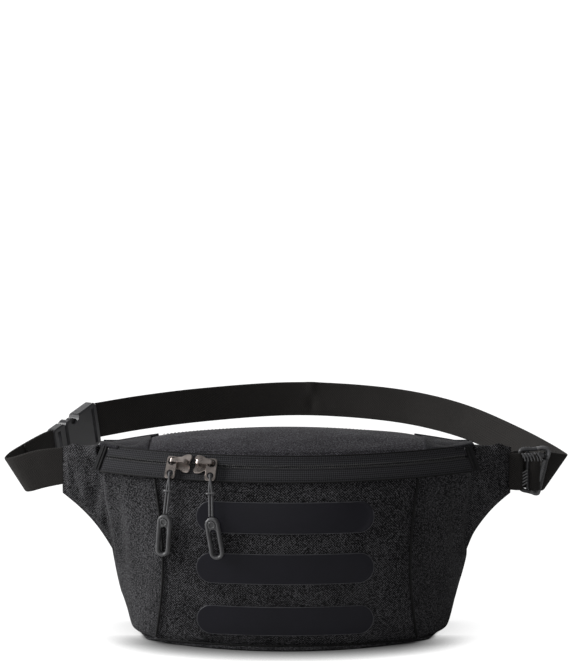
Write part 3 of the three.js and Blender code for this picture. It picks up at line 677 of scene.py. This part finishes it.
def swell(obj, free, cap):
    """Blows a padded piece up with a short cloth run. free is 0 where it is sewn down and 1 where it may
    move; no point moves further than cap millimetres."""
    mesh = obj.data
    seam = obj.vertex_groups.new(name="seam")
    for i in np.flatnonzero(free < 0.5):
        seam.add([int(i)], 1.0, "REPLACE")
    cloth = obj.modifiers.new("swell", "CLOTH")
    settings = cloth.settings
    settings.vertex_group_mass = "seam"
    settings.use_pressure = True
    settings.uniform_pressure_force = 4.0
    settings.effector_weights.gravity = 0.0
    settings.quality = 4
    first, last = 1, 20
    cloth.point_cache.frame_start = first
    cloth.point_cache.frame_end = last
    for number in range(first, last + 1):
        scene.frame_set(number)
    before = np.empty(len(mesh.vertices) * 3)
    mesh.vertices.foreach_get("co", before)
    before = before.reshape(-1, 3)
    swollen = obj.evaluated_get(bpy.context.evaluated_depsgraph_get())
    after = np.empty(before.size)
    swollen.to_mesh().vertices.foreach_get("co", after)
    swollen.to_mesh_clear()
    obj.modifiers.remove(cloth)
    scene.frame_set(first)
    move = after.reshape(-1, 3) - before
    ends = np.array([e.vertices[:] for e in mesh.edges])
    for _ in range(8):
        total, count = move.copy(), np.ones((len(move), 1))
        for a, b in ((0, 1), (1, 0)):
            np.add.at(total, ends[:, a], move[ends[:, b]])
            np.add.at(count, ends[:, a], 1)
        move = total / count
    size = np.linalg.norm(move, axis=1, keepdims=True)
    limit = cap * MM * free[:, None]
    move *= np.minimum(1, limit / np.maximum(size, 1e-12))
    mesh.vertices.foreach_set("co", (before + move).ravel())
    mesh.update()
    obj.vertex_groups.remove(seam)


def run(name, points, radius, mat, slot, sides=8):
    """A tube that rides on the pack."""
    place(tube(name, points, radius, mat, sides), "pack", slot)


def place(obj, body, slot, *nodes):
    """Sets the body a piece rides on and hides the CAD nodes it stands for; slot, the slot of its finish, is
    not used.
    """
    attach(obj, body)
    if nodes:
        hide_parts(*nodes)
    return obj


def blended(obj, slot, first, second, start, end, *nodes):
    """Hides the CAD nodes a piece stands for and bakes its placement into its mesh; slot, first, second, start
    and end are not used.
    """
    if nodes:
        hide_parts(*nodes)
    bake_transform(obj)


# ---- soft shell

def shell():
    panel("pack_fabric", "front_panel", "front_shell", front_at, 150, 100, SHELL, "pack", front_relief, 3.0)
    for side in ("right", "left"):
        turn = mirror_of if side == "left" else lambda f: f
        flip = (lambda f: lambda u, v: f(1 - u, v)) if side == "left" else lambda f: f
        panel("pack_fabric", f"gusset_{side}", f"gusset_shell_{side}", fuller_of(turn(gusset_at)), 46, 90,
              SHELL, "pack", flip(gusset_relief), 3.0)
        panel("lining", f"top_corner_{side}", f"top_corner_shell_{side}", turn(top_at(YOKE_HALF - 0.6, 146)),
              30, 30, 1.6, "lining", flip(corner_relief), 2.0)
    panel("pack_fabric", "back_panel", "back_shell", fuller_of(back_at), 140, 90, SHELL, "mesh",
          back_relief, 5.0)
    puckers = lambda u, v: 0.25 * np.sin(u * 60) * np.exp(-v / 0.1)
    panel("pack_fabric", "base_panel", "base_shell", fuller_of(base_at), 70, 24, 1.7, "pack", puckers, 2.0)
    panel("yoke_fabric", "top_yoke", "yoke_shell", top_at(-YOKE_HALF - 0.4, YOKE_HALF + 0.4), 120, 44,
          SHELL, "yoke", yoke_relief, 3.0)
    x = np.linspace(101, 144.5, 26)
    for side, sign in SIDES:
        line = stack(x * sign, BACK_Y - 1.4 + 0 * x, np.maximum(crown(x), 146.2) + 0.1)
        run(f"back_piping_{side}", line, 1.5, "lining", "lining")


def wing(side):
    """One padded wing: two faces sewn together along three edges, with a seam and slack folds in front."""
    n, m = 40, 44
    u, v = np.meshgrid(np.linspace(0, 1, n), np.linspace(0, 1, m))
    f = wing_front_at(u, v)
    b = wing_back_at(1 - u, v)
    seam = smooth(np.minimum(v, 1 - v) / 0.16) * smooth((1 - u) / 0.2 + 0.15)
    pinch = (1 - seam)[..., None]
    middle = f * 0.35 + b * 0.65
    off = np.array([0, 1.2, 0])
    f2 = f * (1 - pinch) + (middle - off) * pinch
    b2 = b * (1 - pinch) + (middle + off) * pinch
    keep = smooth((0.5 - u) / 0.5)[..., None] * (v > 0.5)[..., None]
    f2 = f2 * (1 - keep) + f * keep
    seam_line = -1.3 * np.exp(-((v - 0.775 + 0.05 * u) / 0.02) ** 2) * smooth((1 - u) / 0.06)
    folds = ridges(u, v, 0.8, (0.02, 0.72, 0.3, 0.12, 0.06, 2.0), (0.12, 0.7, 0.42, 0.2, 0.05, -1.6),
                   (0.5, 0.68, 0.55, 0.25, 0.07, 1.8), (0.75, 0.66, 0.7, 0.35, 0.06, -1.5),
                   (0.35, 0.82, 0.78, 0.97, 0.05, 2.4), (0.3, 0.92, 0.6, 0.84, 0.04, -1.6))
    uneven = swirl(u, v, 41, 1.0, low=0.5, high=2.5)
    f2[..., 1] -= seam_line + folds * seam + uneven * seam
    f2[..., 2] += 3.2 * np.exp(-((u - 0.72) / 0.13) ** 2) * smooth((v - 0.9) / 0.1)
    b2[..., 1] += seam
    faces = two_faces(m, n)
    pts = np.concatenate([f2.reshape(-1, 3), b2.reshape(-1, 3)])
    uvs = pts[:, [0, 2]].copy()
    if side == "left":
        pts[:, 0] *= -1
        faces = faces[:, ::-1]
    pts = fuller(pts)
    obj = make_mesh(f"wing_shell_{side}", pts, faces.tolist(), uvs, "pack")
    free = smooth(np.minimum(np.minimum(v, 1 - v) / 0.12, np.minimum(u, 1 - u) / 0.1))
    free = free * smooth(np.abs(v - 0.76) / 0.06)
    swell(obj, np.tile(free.ravel(), 2), 3.0)
    sub = obj.modifiers.new("soft", "SUBSURF")
    sub.levels = sub.render_levels = 1
    place(obj, "pack", "pack_fabric", f"wing_front_{side}", f"wing_back_{side}", f"wing_foam_{side}")


# ---- bars

BAR_HALF, BAR_R = 67.8, 11.3  # half length and end radius of a film bar
BAR_SHIFT = 1.0  # the bars sit this far left of the middle


def film_bar(name, centre):
    """One film bar lying on the front, with a fine raised rim."""
    radius = BAR_R

    def share(rise):
        """Where a height above the bar's middle lies on the front panel, from 0 to 1."""
        return (centre + rise - FOOT_Z) / (TOP_Z - FOOT_Z)

    def surface(u, v):
        rise = -np.cos(np.pi * v) * radius
        half = BAR_HALF - radius + np.sqrt(np.maximum(radius ** 2 - rise ** 2, 0)) + 0.4
        r = front_r(share(rise))
        return on_arc((lerp(-half, half, u) - BAR_SHIFT) / r, r, centre + rise)

    def relief(u, v):
        x = lerp(-BAR_HALF, BAR_HALF, u)
        return front_relief(0.5 + x / (2 * PANEL_HALF), share(-np.cos(np.pi * v) * radius))
    panel("film", name, name + "_film", surface, 90, 26, 0.8, "film", relief, 1.3, lift=0.75,
          size=(2 * BAR_HALF, 2 * radius))
    reach, bend = BAR_HALF - radius, math.pi * radius
    s = np.linspace(0, 1, 220, endpoint=False) * (4 * reach + 2 * bend)
    half = 2 * reach + bend
    along, sign = s % half, np.where(s < half, 1, -1)
    a = np.maximum(along - 2 * reach, 0) / radius - np.pi / 2
    x = sign * (np.minimum(along, 2 * reach) - reach + radius * np.cos(a))
    z = sign * radius * np.sin(a)
    r = front_r(share(z)) + front_relief(0.5 + x / (2 * PANEL_HALF), share(z)) + 0.35
    line = on_arc((x * 1.004 - BAR_SHIFT) / r, r, centre + z * 1.02)
    # the raised rim is real; its lighter colour is a painted highlight
    place(tube(name + "_rim", line, 0.42, "rim", 6, closed=True), "pack", "film")


# ---- zip

def coil(name, node, share, sign):
    """One row of coil teeth along the band, each a small bead across the tape's edge."""
    wire, across, tilt = 0.52, 0.9, 0.22
    pts, faces = [], []
    for a in np.linspace(-HALF + 0.012, HALF - 0.012, 190):
        t = np.array([np.cos(a), np.sin(a), 0.0])
        radial = np.array([np.sin(a), -np.cos(a), 0.0])
        down = unit(radial * (LOW_R - HIGH_R) + np.array([0, 0, LOW_Z - HIGH_Z]))
        out = np.cross(down, t)
        middle = on_band(a, share) + out * 0.15
        faces += bead_faces(4, len(pts))
        for along, w, h in ((-1.05, 0.35, 0.2), (-0.55, 1, 0.9), (0.55, 1, 0.9), (1.05, 0.35, 0.2)):
            centre = middle + down * along * across * -sign + t * along * tilt
            for g in circle(6):
                pts.append(centre + t * np.cos(g) * wire * w + out * np.sin(g) * 0.5 * h)
    place(make_mesh(name, pts, faces, None, "coil"), "pack", "zip_coil", node)


def zip_parts():
    coil_at, gap = 0.58, 0.11
    low, high = coil_at - gap / 2, coil_at + gap / 2
    ribs = lambda u, v: 0.12 * np.sin(v * 14)
    flap = sheet("zip_flap", band_at(0.3, 1.0, HALF + 0.018), 160, 8, 0.8, "inner", None, 0.6, lift=-5.6)
    place(flap, "pack", "lining")
    panel("zip_tape", "zip_tape_lower", "zip_tape_front", band_at(-0.03, low + 0.012), 220, 10, 0.8, "zip",
          ribs, 0.6, lift=0.1)
    panel("zip_tape", "zip_tape_upper", "zip_tape_rear", band_at(high - 0.012, 1.03), 220, 8, 0.8, "zip",
          ribs, 0.6, lift=0.1)
    coil("zip_coil_lower_teeth", "zip_coil_lower", low + 0.006, -1)
    coil("zip_coil_upper_teeth", "zip_coil_upper", high - 0.006, 1)
    along = np.linspace(-HALF, HALF, 160)
    # painted shade: near-black lines along the zip band's lower and upper seams
    run("zip_seam_lower", on_band(along, -0.045, 0.1), 0.6, "gap", "pack_fabric")
    run("zip_seam_upper", on_band(along, 1.04), 0.55, "gap", "pack_fabric")


def end_tabs():
    """The folded tape over each end of the zip."""
    across = lambda u, v: on_band(HALF + lerp(0.001, 0.027, u), lerp(-0.05, 1.03, v))
    for side, surface in (("right", across), ("left", mirror_of(across))):
        panel("webbing", f"zip_end_{side}", f"zip_end_tape_{side}", surface, 8, 24, 2.0, "hem", None, 1.0,
              lift=0.9)


# ---- webbing

def strap(name, top, bottom, thick, nu, lift=0.0, sag=None):
    """Webbing whose two edges are separate lines, so that it can lean and twist; the selvedges are rolled."""
    upper, lower = spline(top), spline(bottom)
    t = np.linspace(0, 1, 200)
    middle = upper(t) * 0.5 + lower(t) * 0.5
    length = np.sum(np.linalg.norm(np.diff(middle, axis=0), axis=1))
    t = np.linspace(0, 1, 50)
    width = np.mean(np.linalg.norm(upper(t) - lower(t), axis=1))

    def surface(u, v):
        p = upper(u) * v[..., None] + lower(u) * (1 - v)[..., None]
        if sag is not None:
            p = p + sag(u, v)
        return p
    u, v = np.meshgrid(np.linspace(0, 1, nu), spaced(10, width, thick * 0.9))
    p = surface(u, v)
    n = normals(surface, u, v)
    half = thick / 2 * (1 - rolled(np.minimum(v, 1 - v) * width / (thick * 0.9)) * 0.96)
    outer, inner = p + n * (lift + half)[..., None], p + n * (lift - half)[..., None]
    return two_sided(name, outer, inner, u * length, v * width, "web")


# Edges of the belt, as points in millimetres: the short strap to the prong, and the waist strap from the
# socket round to the fold at the right.
SHORT_TOP = [(-176.5, 33.2, 142.4), (-198.4, 37, 139.1), (-219, 42.5, 132.2), (-224.6, 49, 130.6),
             (-222.5, 58, 132.6), (-214, 74, 136), (-200.6, 97, 140.2), (-194.2, 109.5, 141.0)]
SHORT_BOTTOM = [(-176.4, 33.2, 112.8), (-191, 36.2, 109.2), (-203, 40, 105.2), (-207.4, 45.5, 104),
                (-207.2, 54, 105.2), (-204, 71, 108), (-197.5, 97, 110.6), (-193.2, 109.5, 111.0)]
WAIST_TOP = [(-163.0, 168.5, 152.4), (-126.4, 195, 153.9), (-75, 219, 156), (0, 236, 158.3),
             (50, 234, 157.4), (99.3, 221, 154.7), (132.8, 201, 151.4), (160, 174, 147.4),
             (195.9, 118, 139.9), (214, 78, 136), (222.4, 54, 134), (223.6, 47, 133.8),
             (220.4, 43.4, 134.6), (212, 40.4, 136.4), (203.4, 38.4, 137.8)]
WAIST_BOTTOM = [(-162.6, 168.5, 122.2), (-126, 195, 123.9), (-75, 219, 126), (0, 236.5, 128.3),
                (50, 234.5, 127.4), (99, 221.5, 124.7), (132, 201.6, 121.4), (158, 175.4, 117.6),
                (190, 120.5, 110.6), (203, 80, 108), (204.8, 52, 105.4), (204.4, 46, 105),
                (202.8, 42.6, 105.2), (201.4, 40.4, 106), (199.9, 38.4, 107)]
LOCK_Z, LOCK_MID = 123.6, 32.0  # height of the ladder lock's middle, and the depth of its bars
BELT, THICK, THIN = 30.0, 1.6, 1.3  # width of the webbing, and its thickness in the open and in the lock


def standing(name, points, offset, count):
    """Upright webbing through the lock; its line is x from offset and y from the lock's bars."""
    line = [(offset + x, LOCK_MID + y) for x, y in points]
    top, bottom = ([(x, y, LOCK_Z + rise) for x, y in line] for rise in (BELT / 2, -BELT / 2))
    return strap(name, top, bottom, THIN, count)


def belt():
    def crease_at(u, v):
        """The slight kink in the back of the loop."""
        from_kink = u - 0.245
        return stack(0 * u, 1.2 * np.sin(v * 5) * np.exp(-(from_kink / 0.006) ** 2),
                     0.5 * np.exp(-(from_kink / 0.008) ** 2) * v)
    waist = strap("waist_belt", WAIST_TOP, WAIST_BOTTOM, THICK, 420, sag=crease_at)
    place(waist, "pack", "webbing", "waist_strap")
    short = strap("short_belt", SHORT_TOP, SHORT_BOTTOM, THICK, 200)
    to_prong = ("webbing", "pack", "prong")
    blended(short, *to_prong, (-0.198, 0.034, 0.125), (-0.198, 0.103, 0.125), "short_strap")
    top, bottom = ([(x + 0.4, y + 0.2, z) for x, y, z in edge[5:]] for edge in (SHORT_TOP, SHORT_BOTTOM))
    hem = strap("short_belt_hem", top, bottom, THICK, 60, lift=1.9)
    blended(hem, *to_prong, (-0.212, 0.034, 0.125), (-0.205, 0.103, 0.125), "short_strap_hem")
    anchor = [(-7.3, -1.1), (-2, -3), (0.6, -3.2), (2.8, -1.8), (2.9, 0), (2.8, 1.8), (0.6, 3.2), (-2, 3),
              (-7.3, 1.1)]
    place(standing("anchor_loop", anchor, 183.3, 90), "pack", "webbing", "anchor_webbing")
    threaded = [(3.5, 5.8), (3.6, 1), (3.2, -3), (1.2, -4.4), (-1.2, -4.4), (-3.2, -3), (-3.8, 1),
                (-4.4, 4.2), (-8, 5.4), (-16, 6.2)]
    tail = standing("threaded_belt", threaded, 196.1, 110)
    blended(tail, "webbing", "pack", "lock", (0.181, 0.034, 0.1236), (0.189, 0.034, 0.1236),
            "threaded_strap")


# ---- stitching

def seams():
    def outwards(t):
        a = lerp(-HALF, HALF, t)
        return np.stack([np.sin(a), -np.cos(a), 0.35 + 0 * t], -1)
    for name, share in (("stitch_zip_lower", 0.08), ("stitch_zip_upper", 0.94)):
        line = lambda t, share=share: on_band(lerp(-HALF + 0.01, HALF - 0.01, t), share, 0.25, 0.2)
        stitches(name, line, outwards)
    top = top_at(-98, 98)
    stitches("stitch_yoke_front", lambda t: top(t, 0.07 + 0 * t) + np.array([0, 0, -0.1]), (0, -0.2, 1))
    stitches("stitch_yoke_rear", lambda t: top(t, 0.92 + 0 * t) + np.array([0, 0, -0.4]), (0, 0.2, 1))
    for side, sign in SIDES:
        share = np.linspace(0.0, 1.0, 24)
        for k, beyond in enumerate((0.004, 0.0125)):
            # painted shade: two near-black lines in the seams beside each end of the zip
            line = on_band(sign * (HALF + beyond), share, 1.0, 0.5)
            run(f"seam_zip_end_{side}_{k}", line, 0.5, "gap", "webbing", 6)
        a = sign * np.linspace(HALF - 0.035, HALF + 0.034, 14)
        run(f"zip_end_cap_{side}", on_arc(a, HIGH_R - 0.4, HIGH_Z + 0.3), 1.5, "lining", "lining")

        def wing_row(t, sign=sign):
            u = lerp(0.06, 0.95, t)
            p = wing_front_at(u, 0.735 - 0.05 * u) + np.array([0, -0.9, 0])
            p[..., 0] *= sign
            return p
        stitches(f"stitch_wing_{side}", wing_row, (0.15 * sign, -1, 0))


def grooves():
    """Painted shade: near-black lines that lie in the bottom of the shell's seams, where shade falls."""
    v = np.linspace(0.015, 0.985, 90)
    for side, sign in SIDES:
        line = on_arc(sign * front_half(v), front_r(v) + 0.3, lerp(FOOT_Z, TOP_Z, v))
        run(f"seam_front_{side}", line, 0.95, "gap", "webbing", 6)
    u = np.linspace(-1, 1, 120) * front_half(0) * 0.99
    run("seam_foot", on_arc(u, FOOT_R + 0.9, 3.3), 0.75, "gap", "webbing", 6)


# ---- hard parts that stay from the CAD

def dress(node, mat, bevel):
    """Gives a CAD node its material and, where bevel is set, edges rounded by that many millimetres."""
    obj = NODES[node]
    obj.data.materials.clear()
    obj.data.materials.append(MAT[mat])
    if bevel:
        mod = obj.modifiers.new("worn edges", "BEVEL")
        mod.width = bevel * MM
        mod.segments = 2
        mod.limit_method = "ANGLE"
        mod.angle_limit = math.radians(35)
    return obj


def hard_parts():
    for side in ("left", "right"):
        dress(f"slider_{side}", "metal", 0.3)
        dress(f"pull_tab_{side}", "metal", 0.25)
        dress(f"grip_{side}", "rubber", 0.3)
        dress(f"seam_binding_{side}", "inner", 0)
    for node in ("buckle_socket", "buckle_prong_base", "buckle_arm_upper", "buckle_arm_lower"):
        dress(node, "plastic", 0.35)
    dress("back_foam", "foam", 0.8)
    for node in ("back_lining", "inner_pocket", "base_stiffener"):
        dress(node, "inner", 0.2)


def loop(half, radius, steps=14):
    """A closed stadium outline in x and z: straight runs of 2 half, joined by half circles."""
    a = np.linspace(0, np.pi, steps)[: steps if half else -1]
    top = np.stack([radius * np.cos(a), half + radius * np.sin(a)], -1)
    run = np.linspace(half, -half, 12)[1:-1] if half else np.zeros(0)
    left = np.stack([np.full(len(run), -radius), run], -1)
    right = np.stack([np.full(len(run), radius), run[::-1]], -1)
    return np.concatenate([top, left, -top, right])


def turned(turn, tip, lean=0.0):
    """Axes of a hanging part: turned about the vertical, tipped forwards and leaning sideways, in degrees."""
    return np.array(Matrix.Rotation(math.radians(turn), 3, "Z") @ Matrix.Rotation(math.radians(tip), 3, "X")
                    @ Matrix.Rotation(math.radians(lean), 3, "Y"))


def own_points(node, axes):
    """A CAD node's points in its own axes, in millimetres."""
    return np.array([p.co for p in NODES[node].data.vertices]) / MM @ axes


def grip_details(side, turn, lean):
    """The rounded rim and the ring round the boss, both raised on the grip's front."""
    axes = turned(turn, math.degrees(-0.02), lean)
    own = own_points(f"grip_{side}", axes)
    low, high = own.min(0), own.max(0)
    x, face = (low[0] + high[0]) / 2, low[1] + 0.5
    for name, outline, z, out, radius in (("rim", loop(10.85, 4.15), (low[2] + high[2]) / 2, 0.1, 1.25),
                                          ("boss", loop(0.0, 2.4), high[2] - 5.6, 0.8, 0.6)):
        points = stack(x + outline[:, 0], face - out, z + outline[:, 1]) @ axes.T
        ring = tube(f"grip_{name}_{side}", points, radius, "rubber", 10, closed=True)
        place(ring, f"{side}_grip", "grip_rubber")


def cord_details(side, turn, lean):
    """The cord's loop through the tab's eye, its two strands, a painted shade in the gap between and the ring
    round them.
    """
    tip = -15
    axes = turned(turn, tip, lean / 2)
    own = own_points(f"cord_{side}", axes)
    foot = own[:, 2].min()
    x, y = (own[own[:, 2] < foot + 3][:, k].mean() for k in (0, 1))
    eye = np.array([x, y, foot + 31])
    cos, sin = math.cos(math.radians(tip)), math.sin(math.radians(tip))
    apart, wire = 1.1, 0.88

    def on_tab(px, py, pz):
        return px, py * cos - pz * sin, py * sin + pz * cos

    def piece(name, path, radius, mat, start, end, first, second):
        """One length of cord, baked where it lies."""
        curve, total = even(spline([eye + p for p in path]))
        line = curve(np.linspace(0, 1, int(total * 1.6) + 8)) @ axes.T
        obj = tube(f"{name}_{side}", line, radius, mat, 10)
        ends = [tuple(float(k) for k in axes @ (eye + (0, 0, z)) * MM) for z in (start, end)]
        nodes = (f"cord_{side}",) if name == "cord_loop" else ()
        blended(obj, "cord", f"{side}_{first}", f"{side}_{second}", *ends, *nodes)
    piece("cord_loop", [(-apart, 0, -15), (-apart, 0.3, -11), on_tab(-0.7, 2.05, -4), on_tab(0, 1.4, 0.2),
                        on_tab(0, -1.4, 0.2), on_tab(0.7, -2.05, -4), (apart, -0.3, -11), (apart, 0, -15)],
          wire, "cord", -1.0, -11.0, "tab", "cord")
    for name, k in (("cord_strand_a", -apart), ("cord_strand_b", apart)):
        piece(name, [(k, 0, -14.6), (k, 0, -20), (k, 0, -31)], wire, "cord", -22, -30, "cord", "grip")
    # painted shade: a near-black rod in the gap between the two strands
    piece("cord_gap", [(0, 0.1, -12), (0, 0.1, -20), (0, 0.1, -31)], 0.5, "gap", -22, -30, "cord", "grip")
    own = own_points(f"cord_collar_{side}", axes)
    middle = (own.min(0) + own.max(0)) / 2
    a = circle(24)
    line = stack(middle[0] + 3.3 * np.cos(a), middle[1] + 1.75 * np.sin(a), middle[2]) @ axes.T
    ring = tube(f"cord_ring_{side}", line, 0.75, "rubber", 8, closed=True)
    place(ring, f"{side}_cord", "grip_rubber", f"cord_collar_{side}")


def tab_details(side, turn):
    """A painted shadow: a near-black ring on the edge of the round window through which the slider's bridge
    passes.
    """
    axes = turned(turn, -30)
    own = own_points(f"pull_tab_{side}", axes)
    low, high = own.min(0), own.max(0)
    ring = loop(0.0, 2.75)
    points = stack((low[0] + high[0]) / 2 + ring[:, 0], low[1], high[2] - 3.9 + ring[:, 1]) @ axes.T
    place(tube(f"tab_window_{side}", points, 0.42, "gap", 8, closed=True), f"{side}_tab", "slider_metal")


def lock_visual():
    """Ladder lock: frame, hook, bar, lip and finger ribs, each a rod through points in x and z."""
    # the hook, lip, foot and ribs take the lighter plastic as a painted highlight; the frame, bar and shelf
    # keep the buckle's darker plastic
    def rod(name, points, radius, front=0.0, mat="worn_and_painted_highlight", *nodes):
        line, _ = even(spline([(x, LOCK_MID - front, z) for x, z in points]))
        obj = tube(name, line(np.linspace(0, 1, 14 * len(points))), radius, mat, 10)
        place(obj, "lock", "buckle_plastic", *nodes)
    outline = [(184.6, 112), (183.8, 122), (183.9, 136), (185.6, 140.4), (194, 141), (203.5, 141.6),
               (206.0, 139.4), (204.6, 130), (201.4, 116), (199.6, 108.4), (197.2, 106.2), (191, 107.2),
               (186, 108.8), (184.6, 112)]
    rod("lock_frame", outline, 1.75, 0.0, "plastic", "ladder_lock")
    rod("lock_hook", [(197.5, 142), (201.5, 143), (205.6, 142.2), (207, 138.8), (205.8, 134.2)], 1.35, 2.2)
    rod("lock_bar", [(190.6, 139.4), (190.4, 124), (190.8, 109)], 1.3, 0.0, "plastic")
    rod("lock_lip", [(203.4, 133.0), (201.2, 124.0), (199.2, 115.6)], 1.5, 1.9)
    rod("lock_foot", [(193.4, 108.2), (195.2, 106.0), (198.6, 105.7), (199.8, 108.6)], 1.5, 1.8)
    rod("lock_shelf", [(185.6, 136.6), (192, 137.2), (199, 137.4), (203.0, 136.6)], 1.7, 3.4, "plastic")
    rib = 0.65
    for k, s in enumerate(2.5 * np.arange(6)):
        rod(f"lock_rib_top_{k}", [(185.4 + s, 138.6), (187.2 + s, 135.6), (188.2 + s, 132.4)], rib, 4.6)
    for k, s in enumerate(2.5 * np.arange(5)):
        rod(f"lock_rib_low_{k}", [(184.4, 111.6 + s), (187.2, 112.8 + s), (190.2, 114.8 + s)], rib, 1.9)


# ---- stage

def light(name, where, target, power, size):
    data = bpy.data.lights.new(name, "AREA")
    data.shape = "RECTANGLE"
    data.size, data.size_y = size
    data.energy = power
    obj = bpy.data.objects.new(name, data)
    obj.location = where
    obj.rotation_euler = (Vector(target) - Vector(where)).to_track_quat("-Z", "Y").to_euler()
    scene.collection.objects.link(obj)


def stage():
    """White paper that glows white for the camera, with a painted contact shadow, strongest in front of the
    pack, in a white studio.
    """
    white = Shader("paper")
    speck = white.noise(white.obj(), 40.0, 2.0)
    # painted shadow: the glow the camera sees is dimmed by ambient occlusion, and more so in front of the pack
    near = white.node("ShaderNodeAmbientOcclusion", Distance=0.032).outputs["AO"]
    seen = white.node("ShaderNodeLightPath").outputs["Is Camera Ray"]
    where = white.node("ShaderNodeSeparateXYZ", Vector=white.obj())
    ahead = white.math("MULTIPLY", white.add(where.outputs[1], 0.002), -40.0, True)
    glow = white.mul(white.math("POWER", near, white.add(white.mul(ahead, 3.4), 0.35)), seen)
    # the paper is darker for camera rays, so that what the camera sees is mostly its glow
    shade = white.mix(seen, white.ramp(speck, [(0.0, 0.6), (1.0, 0.64)]), (0.08, 0.08, 0.08))
    white.set(Base_Color=shade, Roughness=0.95, Specular_IOR_Level=0.1,
              Emission_Color=(1, 1, 1, 1), Emission_Strength=glow)
    mesh = bpy.data.meshes.new("floor")
    s = 6.0
    mesh.from_pydata([(-s, -s, 0), (s, -s, 0), (s, s, 0), (-s, s, 0)], [], [(0, 1, 2, 3)])
    mesh.materials.append(white.mat)
    floor = bpy.data.objects.new("floor", mesh)
    scene.collection.objects.link(floor)
    scene.view_settings.view_transform = "Standard"

    scene.world = bpy.data.worlds.new("studio")
    scene.world.use_nodes = True
    tree = scene.world.node_tree
    backdrop, path = tree.nodes["Background"], tree.nodes.new("ShaderNodeLightPath")
    backdrop.inputs[0].default_value = (1, 1, 1, 1)
    level = tree.nodes.new("ShaderNodeMapRange")
    level.inputs["To Min"].default_value, level.inputs["To Max"].default_value = 0.12, 1.1
    tree.links.new(path.outputs["Is Camera Ray"], level.inputs["Value"])
    tree.links.new(level.outputs[0], backdrop.inputs[1])

    light("key", (-1.55, -0.08, 0.88), (-0.05, 0, 0.08), 38, (0.8, 0.8))
    light("top", (-0.1, 0.1, 1.6), (-0.02, 0.05, 0.1), 6, (1.0, 0.8))
    light("fill", (-0.2, -1.8, 0.7), (0.0, 0, 0.08), 4.6, (1.0, 0.8))
    light("back", (-0.2, 1.7, 0.5), (0, 0.1, 0.08), 9, (1.4, 0.6))


def camera():
    """A camera 1.65 m off and 15 degrees up; its aim shows at (286.5, 566) in a frame 570 by 661 pixels."""
    data = bpy.data.cameras.new("camera")
    cam = bpy.data.objects.new("camera", data)
    scene.collection.objects.link(cam)
    distance, elevation, focal, tall = 1.65, math.radians(15), 2157.0, 661
    aim = Vector((0, -0.042, 0.066))
    cam.location = aim + Vector((0, -math.cos(elevation), math.sin(elevation))) * distance
    pitch = elevation - math.atan((566.0 - tall / 2) / focal)
    cam.rotation_euler = (math.pi / 2 - pitch, 0, 0)
    data.sensor_width = 36
    data.lens = focal * 36 / tall
    data.shift_x = -1.5 / tall
    data.clip_end = 50
    scene.camera = cam


shell()
for side in ("left", "right"):
    wing(side)
for row, height in (("top", 104.0), ("middle", 65.0), ("bottom", 23.4)):
    film_bar(f"front_bar_{row}", height)
zip_parts()
end_tabs()
belt()
seams()
grooves()
hard_parts()
for side, turn, lean in (("left", -17.45, 4), ("right", -13.3, -10)):
    grip_details(side, turn, lean)
    cord_details(side, turn, lean)
    tab_details(side, turn)
lock_visual()
stage()
camera()
